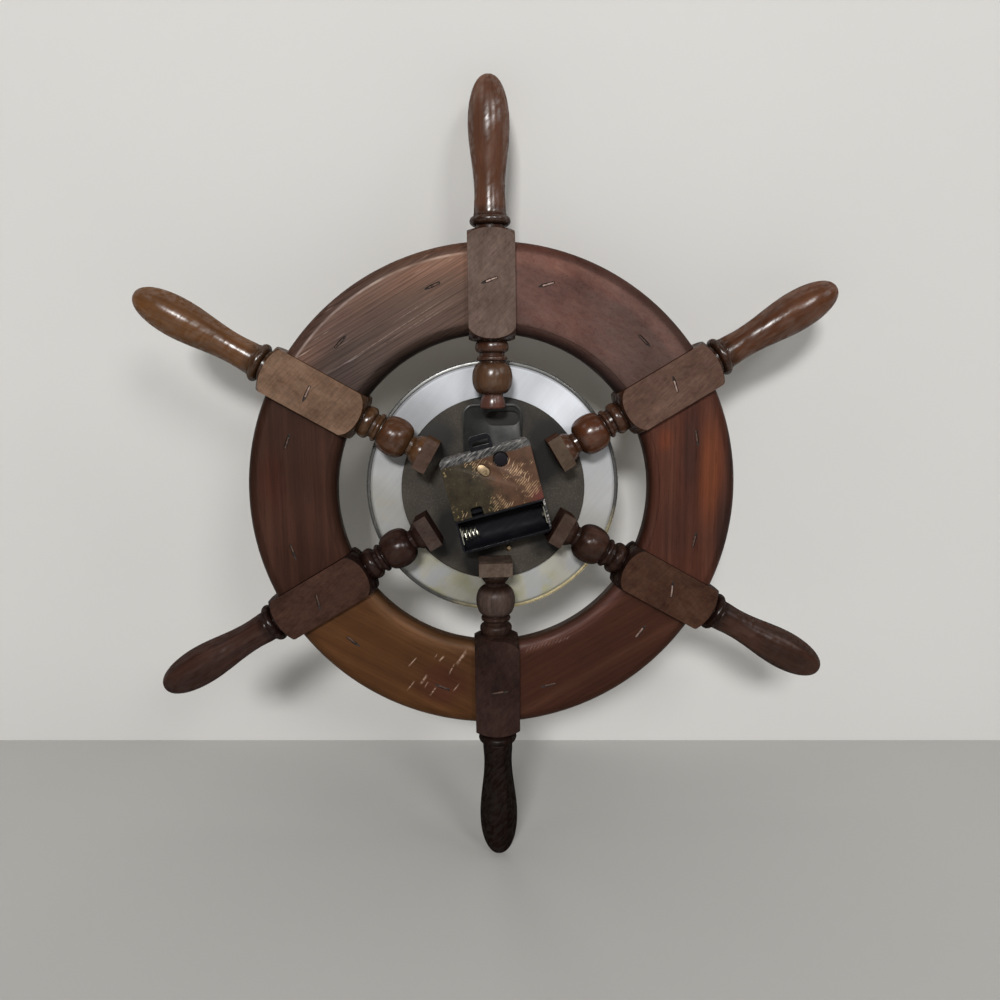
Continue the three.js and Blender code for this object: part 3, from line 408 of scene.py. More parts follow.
# fibres run along the local Z axis once the patterns are turned by the look's angle
def woodPatterns(tree, look):
    turn = (0, look["turn"], 0)
    seed = look["seed"]
    away = (seed * 3, seed * 5, seed * 2)
    fibre = objectSpace(tree, turn, (1, 1, look.get("stretch", 0.015)), away)
    short = objectSpace(tree, turn, (1, 1, look.get("shortStretch", 0.07)), away)
    plain = objectSpace(tree, turn, (1, 1, 1), away)
    return {
        "away": away, "fibre": fibre, "plain": plain,
        "bands": noise(tree, fibre, look.get("bandScale", 130), 4, 0.55, 0.15),
        "lines": noise(tree, fibre, look.get("lineScale", 620), 4, 0.62),
        "pores": noise(tree, short, look.get("poreScale", 1100), 3, 0.55),
        "patches": noise(tree, plain, look.get("patchScale", 14), 3, 0.5),
    }


def grainColor(tree, look, wood):
    color = ramp(tree, wood["bands"], [(0.32, look["dark"]), (0.52, look["middle"]), (0.72, look["light"])])
    lines = [(0.36, look.get("lineDepth", 0.62)), (0.60, look.get("lineTop", 1.08))]
    color = shaded(tree, color, ramp(tree, wood["lines"], lines), 0.8)
    pores = ramp(tree, wood["pores"], [(0.34, 0.4), (0.46, 1.0)])
    color = shaded(tree, color, pores, look.get("poreMix", 0.45))
    patches = ramp(tree, wood["patches"], [(0.32, look.get("patchDepth", 0.74)), (0.66, 1.12)])
    return shaded(tree, color, patches, 0.85)


# slanted marks of coarse paper
def sanded(tree, look, wood, color):
    slanted = objectSpace(tree, (0, math.radians(45), 0), (1, 1, 0.08), wood["away"])
    marks = ramp(tree, noise(tree, slanted, 1300, 3, 0.5), [(0.36, look["sanding"]), (0.62, 1.1)])
    return shaded(tree, color, marks)


# a greyish veil in the open grain: partly dust, partly painted sheen
def veiled(tree, look, wood, color):
    dustSheenFilm = noise(tree, wood["fibre"], look.get("dustSheenScale", 380), 6, 0.75)
    patch = ramp(tree, wood["patches"], [(0.35, 0.55), (0.6, 1.0)])
    amount = times(tree, ramp(tree, dustSheenFilm, [(0.38, 0.0), (0.62, 1.0)]), look["dustSheen"])
    return blendColors(tree, times(tree, amount, patch), color, look["dustSheenColor"])


# sparse pale scratches in one direction
def scratched(tree, look, wood, color):
    angle, amount, width = look["scratches"]
    drawn = objectSpace(tree, (0, look["turn"] + angle, 0), (1, 1, 0.05), wood["away"])
    thin = ramp(tree, noise(tree, drawn, 620, 2, 0.4), [(0.70 - width, 0.0), (0.73 - width, 1.0)])
    where = ramp(tree, noise(tree, wood["plain"], 42, 2, 0.5), [(0.54, 0.0), (0.64, 1.0)])
    return blendColors(tree, times(tree, times(tree, thin, where), amount), color, look["scratchColor"])


def fromCenter(tree):
    flat = addNode(tree, "ShaderNodeVectorMath", {0: objectSpace(tree), 1: (1, 0, 1)}, operation="MULTIPLY")
    return measured(tree, "LENGTH", flat.outputs[0])


# one on the side with the movement, nought on the dial side
def atBack(tree):
    return calculate(tree, "GREATER_THAN", sides(tree, objectSpace(tree))["Y"], axisDepth * mm)


# shades that depend on the distance from the wheel's centre, in millimetres
def ringed(tree, look, wood, color):
    reach = plus(tree, fromCenter(tree), strayed(tree, wood["patches"], 2.5 * mm))
    stops = []
    for distance, shade in look["rings"]:
        tint = shade if isinstance(shade, tuple) else (shade, shade, shade)
        stops.append((distance / ringReach, tuple(channel * woodTone for channel in tint)))
    return shaded(tree, color, ramp(tree, times(tree, reach, 1 / (ringReach * mm)), stops))


# painted highlight: a thin pale line along the rounded edge, broken up, on the side with the movement
def rubbed(tree, look, wood, color):
    radius, width = look["edgeHighlight"]
    off = calculate(tree, "ABSOLUTE", calculate(tree, "SUBTRACT", fromCenter(tree), radius * mm))
    line = ramp(tree, times(tree, off, 1 / (width * mm)), [(0.3, 1.0), (1.0, 0.0)])
    worn = ramp(tree, noise(tree, wood["plain"], 36, 3, 0.6), [(0.36, 0.15), (0.58, 0.9)])
    return blendColors(tree, times(tree, line, times(tree, worn, atBack(tree))), color, look["scratchColor"])


# tint by the distance to one side, in millimetres
def tinted(tree, look, wood, color):
    span = 2 * ringReach
    share = plus(tree, times(tree, sides(tree, objectSpace(tree))["X"], 1 / (span * mm)), 0.5)
    tints = [(side / span + 0.5, tint) for side, tint in look["across"]]
    return shaded(tree, color, ramp(tree, share, tints))


# soft patches, lighter and darker than the wood around: middle, half sizes, tint
def stained(tree, look, wood, color):
    for (side, height), (wide, tall), tint in look["blotches"]:
        shrunk = objectSpace(tree, (0, 0, 0), (1 / wide / mm, 0, 1 / tall / mm),
                             (-side / wide, 0, -height / tall))
        near = plus(tree, measured(tree, "LENGTH", shrunk), strayed(tree, wood["bands"], 0.5))
        color = shaded(tree, color, tint, ramp(tree, near, [(0.25, 1.0), (1.0, 0.0)], "EASE"))
    return color


# ragged bare marks on the back
def stroked(tree, look, wood, color):
    ragged = ramp(tree, noise(tree, wood["plain"], 800, 4, 0.7), [(0.38, 0.0), (0.54, 1.0)])
    drawn = times(tree, strokeShare(tree, objectSpace(tree), look["strokes"]), ragged)
    return blendColors(tree, times(tree, drawn, atBack(tree)), color, look["strokeColor"])


# gloss that scuffs have broken up, less so on the dial side
def scuffedGloss(tree, look, wood):
    slanted = objectSpace(tree, (0, math.radians(gloss["slant"]), 0), (1, 1, 0.3), wood["away"])
    amount = ramp(tree, noise(tree, slanted, gloss["scale"], 4, 0.65), [(0.38, 0.12), (0.60, 1.0)])
    depth = sides(tree, objectSpace(tree))["Y"]
    depth = calculate(tree, "SUBTRACT", depth, (axisDepth - gloss["front"]) * mm)
    front = ramp(tree, times(tree, depth, 1 / (gloss["fade"] * mm)), [(0.1, 1.0), (1.0, 0.0)])
    amount = blendColors(tree, front, amount, (gloss["frontShare"],) * 3)
    return times(tree, amount, look["coat"])


# what may be done to the bare grain, in this order
woodSteps = {"sanding": sanded, "dustSheen": veiled, "scratches": scratched, "rings": ringed, "edgeHighlight": rubbed,
             "across": tinted, "blotches": stained, "strokes": stroked}


def makeWood(name, look):
    material, tree, shader = startMaterial(name)
    wood = woodPatterns(tree, look)
    color = grainColor(tree, look, wood)
    for key, step in woodSteps.items():
        if key in look:
            color = step(tree, look, wood, color)
    low, high = look["roughness"]
    dullness = ramp(tree, noise(tree, wood["plain"], 60, 4, 0.6), [(0.35, low), (0.68, high)])
    relief = plus(tree, times(tree, wood["lines"], 0.7), times(tree, wood["pores"], 0.5))
    finish(tree, shader, color, dullness, bump(tree, relief, look["relief"], 0.25), specular=look["specular"])
    if "coat" in look:
        feed(tree, shader.inputs["Coat Weight"], scuffedGloss(tree, look, wood))
        shader.inputs["Coat Roughness"].default_value = look["coatRoughness"]
        shader.inputs["Coat IOR"].default_value = look["coatIor"]
    return material


# the camera sees the wheel from behind and a little above, places from the spokes' axes in millimetres

camera = {
    "place": (15.0, 463.9, 65.8),
    "right": (-0.99904, 0.04175, -0.01356),
    "up": (-0.01971, -0.15062, 0.98840),
    "back": (0.03922, 0.98771, 0.15129),
    "lens": 28.8,
}


def makeCamera():
    data = bpy.data.cameras.new("camera")
    data.lens = camera["lens"]
    data.sensor_width = 36
    data.clip_start = 0.01
    item = bpy.data.objects.new("camera", data)
    bpy.context.scene.collection.objects.link(item)
    turn = Matrix((camera["right"], camera["up"], camera["back"])).transposed()
    spot = Vector(camera["place"]) + Vector((0, axisDepth, 0))
    item.matrix_world = Matrix.Translation(spot * mm) @ turn.to_4x4()
    bpy.context.scene.camera = item


makeCamera()
print("camera ready")

# a pale floor under the lowest handle, and a pale wall that the dial side leans to

stage = {
    "floorGap": 0.5,
    "width": 6000,
    "floorDepth": 6000,
    "wallFoot": (-168.5, -125.1, 616.3),  # depths at the two ends of a stretch of this length
    "wallTop": -8,
    "wallHeight": 2600,
    "wallColor": (0.645, 0.64, 0.625),
    "floorColor": (0.44, 0.435, 0.42),
}


def stageMaterial(name, color):
    material, tree, shader = startMaterial(name)
    shade = ramp(tree, noise(tree, objectSpace(tree), 3, 2, 0.4), [(0.3, 0.97), (0.7, 1.03)])
    feed(tree, shader.inputs["Base Color"], shaded(tree, color, shade))
    shader.inputs["Roughness"].default_value = 0.85
    shader.inputs["Specular IOR Level"].default_value = 0.15
    return material, tree, shader


def makeStage():
    floorZ = cadBox[0].z / mm - stage["floorGap"]
    deselectAll()
    bpy.ops.mesh.primitive_plane_add(size=1, location=(0, 0, floorZ * mm))
    floor = bpy.context.object
    floor.scale = (stage["width"] * mm, stage["floorDepth"] * mm, 1)
    applyPlace(floor)
    named(floor, "floor")
    paint(floor, stageMaterial("pale floor", stage["floorColor"])[0])
    # the wall turns a little about the upright and leans to the top handle
    left, right, stretch = stage["wallFoot"]
    foot = (left + right) / 2
    yaw = math.atan2(left - right, stretch)
    lean = math.atan2(stage["wallTop"] - foot, -2 * floorZ)
    deselectAll()
    bpy.ops.mesh.primitive_plane_add(size=1, location=(0, 0, 0))
    wall = bpy.context.object
    wall.scale = (stage["width"] * mm, stage["wallHeight"] * mm, 1)
    applyPlace(wall)
    wall.location = (0, stage["wallHeight"] / 2 * mm, 0)
    applyPlace(wall)
    wall.rotation_euler = (math.pi / 2 + lean, 0, math.pi + yaw)
    wall.location = Vector((0, foot, floorZ)) * mm
    applyPlace(wall)
    named(wall, "wall")
    material, tree, shader = stageMaterial("pale wall", stage["wallColor"])
    # seen from behind, as when the dial is looked at, the wall is clear
    clear = addNode(tree, "ShaderNodeBsdfTransparent")
    side = addNode(tree, "ShaderNodeNewGeometry").outputs["Backfacing"]
    mixed = addNode(tree, "ShaderNodeMixShader", {0: side, 1: shader.outputs[0], 2: clear.outputs[0]})
    tree.links.new(mixed.outputs[0], tree.nodes["Material Output"].inputs[0])
    paint(wall, material)
    wall.visible_shadow = False  # the lamp on the dial side shines past it


makeStage()

# each lamp by its turn from straight behind the wheel (towards the picture's left) and its height, in degrees
lights = {
    "key": {"turn": 9, "height": 23, "away": 4200, "size": (850, 450), "power": 128},
    "second": {"turn": -24, "height": 25, "away": 4200, "size": (900, 900), "power": 42},
    "right": {"turn": -57, "height": 28, "away": 4200, "size": (1400, 1500), "power": 16},
    "left": {"turn": 50, "height": 46, "away": 4200, "size": (1200, 1200), "power": 7},
    "front": {"turn": 168, "height": 14, "away": 2400, "size": (900, 900), "power": 9},
}
lightColors = {"right": (0.97, 0.985, 1.0), "front": (1.0, 0.99, 0.97)}
warmLight = (1.0, 0.99, 0.975)
room = {"light": (0.95, 0.97, 1.0), "strength": 0.012, "seen": (0.60, 0.59, 0.57)}


def makeLights():
    for name, look in lights.items():
        data = bpy.data.lights.new(name, "AREA")
        data.shape = "RECTANGLE"
        data.size, data.size_y = (side * mm for side in look["size"])
        data.energy = look["power"]
        data.color = lightColors.get(name, warmLight)
        item = bpy.data.objects.new(name, data)
        bpy.context.scene.collection.objects.link(item)
        turn, height = math.radians(look["turn"]), math.radians(look["height"])
        flat = math.cos(height)
        spot = Vector((math.sin(turn) * flat, math.cos(turn) * flat, math.sin(height))) * look["away"] * mm
        item.location = spot
        item.rotation_mode = "QUATERNION"
        item.rotation_quaternion = (-spot).to_track_quat("-Z", "Y")
    world = bpy.data.worlds.new("room")
    world.use_nodes = True
    tree = world.node_tree
    dim = tree.nodes["Background"]
    dim.inputs[0].default_value = (*room["light"], 1)
    dim.inputs[1].default_value = room["strength"]
    seen = addNode(tree, "ShaderNodeBackground", {"Color": room["seen"], "Strength": 1.0})
    straight = addNode(tree, "ShaderNodeLightPath").outputs["Is Camera Ray"]
    mixed = addNode(tree, "ShaderNodeMixShader", {0: straight, 1: dim.outputs[0], 2: seen.outputs[0]})
    tree.links.new(mixed.outputs[0], tree.nodes["World Output"].inputs[0])
    bpy.context.scene.world = world
    bpy.context.scene.view_settings.view_transform = "Standard"


makeLights()
print("stage and lights ready")

# turned sticks with square blocks: distances from the wheel's centre, radii and widths

spoke = {
    "steps": 56,
    "blockWidth": 26.2,
    "blockInnerEnd": 86.2,
    "blockOuterEnd": 147.4,
    "innerShoulder": 12.5,
    "outerShoulder": 9.0,
    "shoulderRadius": 8.6,
    "endBlockWidth": 19.6,
    "endBlockDepth": 22.5,
    "endBlockStart": 41.0,
    "endBlockEnd": 49.0,
    "flareRadius": 9.0,
    "flareLength": 5.6,
    "neckRadius": 6.0,
    "neckEnd": 56.5,
    "stubStart": 48.3,
    "stubRadius": 7.4,
    "ballEnd": 74.4,
    "ballRadius": 11.6,
    "ring": (75.0, 78.0, 8.8),
    "grooveRadius": 7.2,
    "bead": (79.8, 85.8, 9.6),
    "collar": (149.2, 154.4, 11.5),
    "foot": (156.0, 9.0),
    "waist": (167.0, 8.5),
    "belly": (203.0, 11.5),
    "tip": 228.6,
    "tipFullness": 0.86,
    "brokenEdge": 0.9,
}


def bulge(start, end, startRadius, endRadius, peak, steps):
    points = []
    for step in range(steps + 1):
        angle = math.pi * step / steps
        share = (1 - math.cos(angle)) / 2
        base = startRadius + (endRadius - startRadius) * share
        points.append((base + (peak - base) * math.sin(angle), start + (end - start) * share))
    return points


def quarter(start, end, wide, narrow, steps):
    points = []
    for step in range(steps + 1):
        angle = math.pi / 2 * step / steps
        points.append((narrow + (wide - narrow) * math.cos(angle) ** 2,
                       start + (end - start) * math.sin(angle)))
    return points


def swell(start, end, startRadius, endRadius, steps):
    points = []
    for step in range(1, steps + 1):
        share = step / steps
        eased = (1 - math.cos(math.pi * share)) / 2
        points.append((startRadius + (endRadius - startRadius) * eased, start + (end - start) * share))
    return points


def shoulder(squareEnd, length, steps):
    points = []
    past = spoke["blockWidth"] * 0.75
    for step in range(steps + 1):
        angle = math.pi / 2 * step / steps
        points.append((spoke["shoulderRadius"] + (past - spoke["shoulderRadius"]) * math.sin(angle),
                       squareEnd + length * (1 - math.cos(angle))))
    return points


def spokeProfile(reachesHub):
    s = spoke
    if reachesHub:
        past = s["endBlockDepth"] * 0.75
        points = [(0, s["endBlockStart"]), (past, s["endBlockStart"]), (past, s["endBlockEnd"])]
        points += quarter(s["endBlockEnd"], s["endBlockEnd"] + s["flareLength"],
                          s["flareRadius"], s["neckRadius"], 6)
    else:
        points = [(0, s["stubStart"]), (s["stubRadius"] - 0.8, s["stubStart"])]
        points += quarter(s["stubStart"] + 0.8, s["neckEnd"] - 1, s["stubRadius"], s["neckRadius"], 6)
    points += bulge(s["neckEnd"], s["ballEnd"], s["neckRadius"], s["grooveRadius"], s["ballRadius"], 18)
    ringStart, ringEnd, ringRadius = s["ring"]
    points += bulge(ringStart, ringEnd, s["grooveRadius"], s["grooveRadius"], ringRadius, 8)
    beadStart, beadEnd, beadRadius = s["bead"]
    points += bulge(beadStart, beadEnd, s["grooveRadius"], s["shoulderRadius"], beadRadius, 10)
    points += shoulder(s["blockInnerEnd"], s["innerShoulder"], 10)
    points += list(reversed(shoulder(s["blockOuterEnd"], -s["outerShoulder"], 10)))
    collarStart, collarEnd, collarRadius = s["collar"]
    points += bulge(collarStart, collarEnd, s["shoulderRadius"], s["foot"][1], collarRadius, 12)
    points += [(s["foot"][1] + 0.3, s["foot"][0] - 0.7), (s["foot"][1], s["foot"][0])]
    points += swell(s["foot"][0], s["waist"][0], s["foot"][1], s["waist"][1], 5)
    points += swell(s["waist"][0], s["belly"][0], s["waist"][1], s["belly"][1], 14)
    for step in range(1, 14):
        angle = math.pi / 2 * step / 14
        points.append((s["belly"][1] * math.cos(angle) ** s["tipFullness"],
                       s["belly"][0] + (s["tip"] - s["belly"][0]) * math.sin(angle)))
    points.append((0, s["tip"]))
    return points


def makeSpoke(name, reachesHub):
    piece = turned(spokeProfile(reachesHub), spoke["steps"], "Z")
    half = spoke["blockWidth"] / 2
    small, deep = spoke["endBlockWidth"] / 2, spoke["endBlockDepth"] / 2
    bar = addBlock((-half, -half, spoke["neckEnd"]), (half, half, spoke["tip"] + 5))
    endBar = addBlock((-small, -deep, 0), (small, deep, spoke["neckEnd"] + 1))
    combined(bar, endBar, "UNION")
    combined(piece, bar, "INTERSECT")
    cleanUp(piece)
    softened(piece, spoke["brokenEdge"], 38, 2)
    moved(piece, 0, axisDepth, 0)
    return named(piece, name)


# the finish of the spokes: painted shade in the grooves, neck, collar and block shoulders, by distance from
# the wheel's centre
turnedShadeRings = [(50, 0.8), (54, 0.5), (58, 0.5), (61, 0.8), (72, 0.8), (75, 0.35), (77, 0.65), (79.5, 0.35),
               (83, 0.7), (86, 0.3), (92, 0.4), (100, 0.7), (143, 0.7), (147, 0.45), (149, 0.35),
               (153, 0.42), (157, 0.6), (160, 1.05)]
glossyWood = {
    "roughness": (0.5, 0.65), "specular": 0.0, "coat": 0.52, "coatRoughness": 0.25,
    "coatIor": 2.0, "relief": 0.26, "dustSheen": 0.14, "dustSheenScale": 700, "stretch": 0.04, "lineDepth": 0.84,
    "poreMix": 0.25, "patchScale": 26,
}
rawWood = {
    "roughness": (0.70, 0.9), "specular": 0.08, "relief": 0.9, "stretch": 0.6, "shortStretch": 0.7,
    "bandScale": 90, "lineScale": 480, "lineDepth": 0.80, "poreMix": 0.25, "poreScale": 700,
    "patchScale": 34, "patchDepth": 0.84, "dustSheen": 0.35, "dustSheenScale": 300, "sanding": 0.82,
    "scratches": (0.7, 0.35, 0.0),
}
plainFoot = (0.6, 0.6, 0.6)


# shades of the sawn back faces: one on the end block, another on the block at the rim
def sawnRings(foot, block=1.0):
    return [(41, foot), (60, foot), (84, block)]


# shades of the turned wood with those of the ball, and of what lies inside it, written apart
def ballRings(ball, inside=turnedShadeRings[:3]):
    return [*inside, (61, ball), (72, ball), *turnedShadeRings[5:]]


# by the hour that each spoke points at
spokeLooks = {
    12: {"turned": ((0.084, 0.033, 0.018), (0.118, 0.048, 0.027), (0.156, 0.068, 0.040)),
         "dustSheenFilm": (0.185, 0.130, 0.098),
         "rings": ballRings((0.75, 0.85, 0.75),
                            ((48, (0.85, 0.85, 1.05)), (55, (0.85, 0.85, 1.05)), (57, 0.5))),
         "sawn": ((0.095, 0.060, 0.047), (0.130, 0.086, 0.068), (0.165, 0.114, 0.092)),
         "sawnDustSheen": (0.19, 0.145, 0.125),
         "sawnRings": sawnRings(plainFoot)},
    2: {"turned": ((0.090, 0.036, 0.012), (0.128, 0.054, 0.019), (0.170, 0.076, 0.029)),
        "dustSheenFilm": (0.200, 0.130, 0.092),
        "rings": ballRings((0.66, 0.60, 0.68)),
        "sawn": ((0.110, 0.064, 0.042), (0.150, 0.092, 0.064), (0.190, 0.122, 0.086)),
        "sawnDustSheen": (0.22, 0.155, 0.120),
        "sawnRings": sawnRings((0.50, 0.48, 0.50), (1.11, 1.05, 0.97))},
    10: {"turned": ((0.074, 0.026, 0.011), (0.105, 0.038, 0.016), (0.142, 0.055, 0.026)),
         "dustSheenFilm": (0.165, 0.105, 0.082),
         "rings": ballRings((0.84, 0.72, 0.64)),
         "sawn": ((0.078, 0.044, 0.033), (0.112, 0.066, 0.052), (0.146, 0.090, 0.072)),
         "sawnDustSheen": (0.17, 0.120, 0.100),
         "sawnRings": sawnRings((0.83, 0.92, 0.81), (1.0, 0.92, 0.86))},
    4: {"turned": ((0.018, 0.007, 0.005), (0.042, 0.018, 0.013), (0.070, 0.032, 0.023)),
        "dustSheenFilm": (0.082, 0.056, 0.047), "coat": 0.20,
        "rings": turnedShadeRings,
        "sawn": ((0.030, 0.013, 0.010), (0.047, 0.022, 0.017), (0.068, 0.034, 0.026)),
        "sawnDustSheen": (0.085, 0.052, 0.042),
        "sawnRings": sawnRings((1.05, 1.36, 1.45), (1.0, 0.92, 0.79))},
    8: {"turned": ((0.022, 0.009, 0.006), (0.048, 0.021, 0.014), (0.080, 0.037, 0.026)),
        "dustSheenFilm": (0.082, 0.056, 0.047), "coat": 0.20,
        "rings": turnedShadeRings,
        "sawn": ((0.034, 0.014, 0.010), (0.054, 0.024, 0.017), (0.078, 0.038, 0.028)),
        "sawnDustSheen": (0.095, 0.056, 0.044),
        "sawnRings": sawnRings((1.03, 1.35, 1.40), (0.98, 0.92, 0.76))},
    6: {"turned": ((0.008, 0.004, 0.003), (0.015, 0.007, 0.005), (0.028, 0.014, 0.010)),
        "dustSheenFilm": (0.042, 0.030, 0.026), "coat": 0.12, "coatRoughness": 0.36,
        "rings": [(41, (4.8, 6.4, 6.8)), (49, (4.8, 6.4, 6.8)), (51, 1.2), (58, 1.2), (61, (3.5, 4.5, 5.0)),
                  (72, (3.3, 4.2, 4.7)), (75, 1.5), (86, 1.5), (92, 1.2), (143, 0.8), (157, 0.5), (228, 0.5)],
        "sawn": ((0.015, 0.007, 0.006), (0.026, 0.013, 0.011), (0.040, 0.021, 0.018)),
        "sawnDustSheen": (0.055, 0.038, 0.032),
        "sawnRings": sawnRings((3.7, 4.8, 4.3), (1.03, 0.91, 0.86))},
}
palestHours = (12, 2, 10)


def shades(three):
    return dict(zip(("dark", "middle", "light"), three))


def spokeWoods(hour, look):
    angle = hour * hourAngle
    polish = {key: look[key] for key in ("coat", "coatRoughness") if key in look}
    turnedWood = makeWood(f"turned wood {hour}", {
        **glossyWood, **shades(look["turned"]), **polish, "turn": -angle, "seed": hour * 0.37,
        "dustSheenColor": look["dustSheenFilm"], "rings": look["rings"]})
    sawnWood = makeWood(f"sawn wood {hour}", {
        **rawWood, **shades(look["sawn"]), "turn": -angle, "seed": hour * 0.53,
        "dustSheenColor": look["sawnDustSheen"], "rings": look["sawnRings"],
        "scratchColor": tuple(channel * 1.9 for channel in look["sawn"][2])})
    return turnedWood, sawnWood


def makeSpokes():
    long = makeSpoke("longSpoke", True)
    short = makeSpoke("shortSpoke", False)
    back = axisDepth + spoke["blockWidth"] / 2 - 0.2
    innerBack = axisDepth + spoke["endBlockDepth"] / 2 - 0.2
    for hour, look in spokeLooks.items():
        piece = copied(short if hour == 12 else long, f"turned_spoke_{hour}")
        paint(piece, *spokeWoods(hour, look))
        paintFaces(piece, 1, lambda spot, normal: normal.y > 0.8 and (
            spot.y > back or (spot.y > innerBack and spot.z < spoke["endBlockEnd"])))
        turnedTo(piece, hour * hourAngle)
        smooth(piece, 32)
        place(piece, "clock", "pale_spoke_wood" if hour in palestHours else "dark_spoke_wood",
              f"spoke_{hour}")
    bpy.data.objects.remove(long)
    bpy.data.objects.remove(short)


makeSpokes()
print("spokes ready")

# six flat rim segments between the spoke blocks, their edges rounded with a small step

rim = {
    "inner": 90.5,
    "outer": 141.0,
    "thickness": 16.0,
    "edgeRound": 5.6,
    "step": 0.45,
    "gap": 13.14,
    "steps": 168,
    "roundSteps": 6,
}
# painted light and shade by distance from the wheel's centre: painted shade on the inner rounded edge, or
# painted light where it faces the lamps; darker towards the outer edge
shadedEdgeRings = [(90, 0.35), (92.5, 0.55), (95, 0.85), (97.5, 1.0), (134.5, 1.0), (136, 0.72), (141, 0.6)]
litEdgeRings = [(90, 0.5), (92, (1.1, 1.25, 1.5)), (94.5, (1.95, 2.25, 2.9)), (96.5, (1.65, 1.85, 2.3)),
               (99, (1.05, 1.08, 1.12)), (101, 1.0), (134.5, 1.0), (136, 0.85), (141, 0.7)]
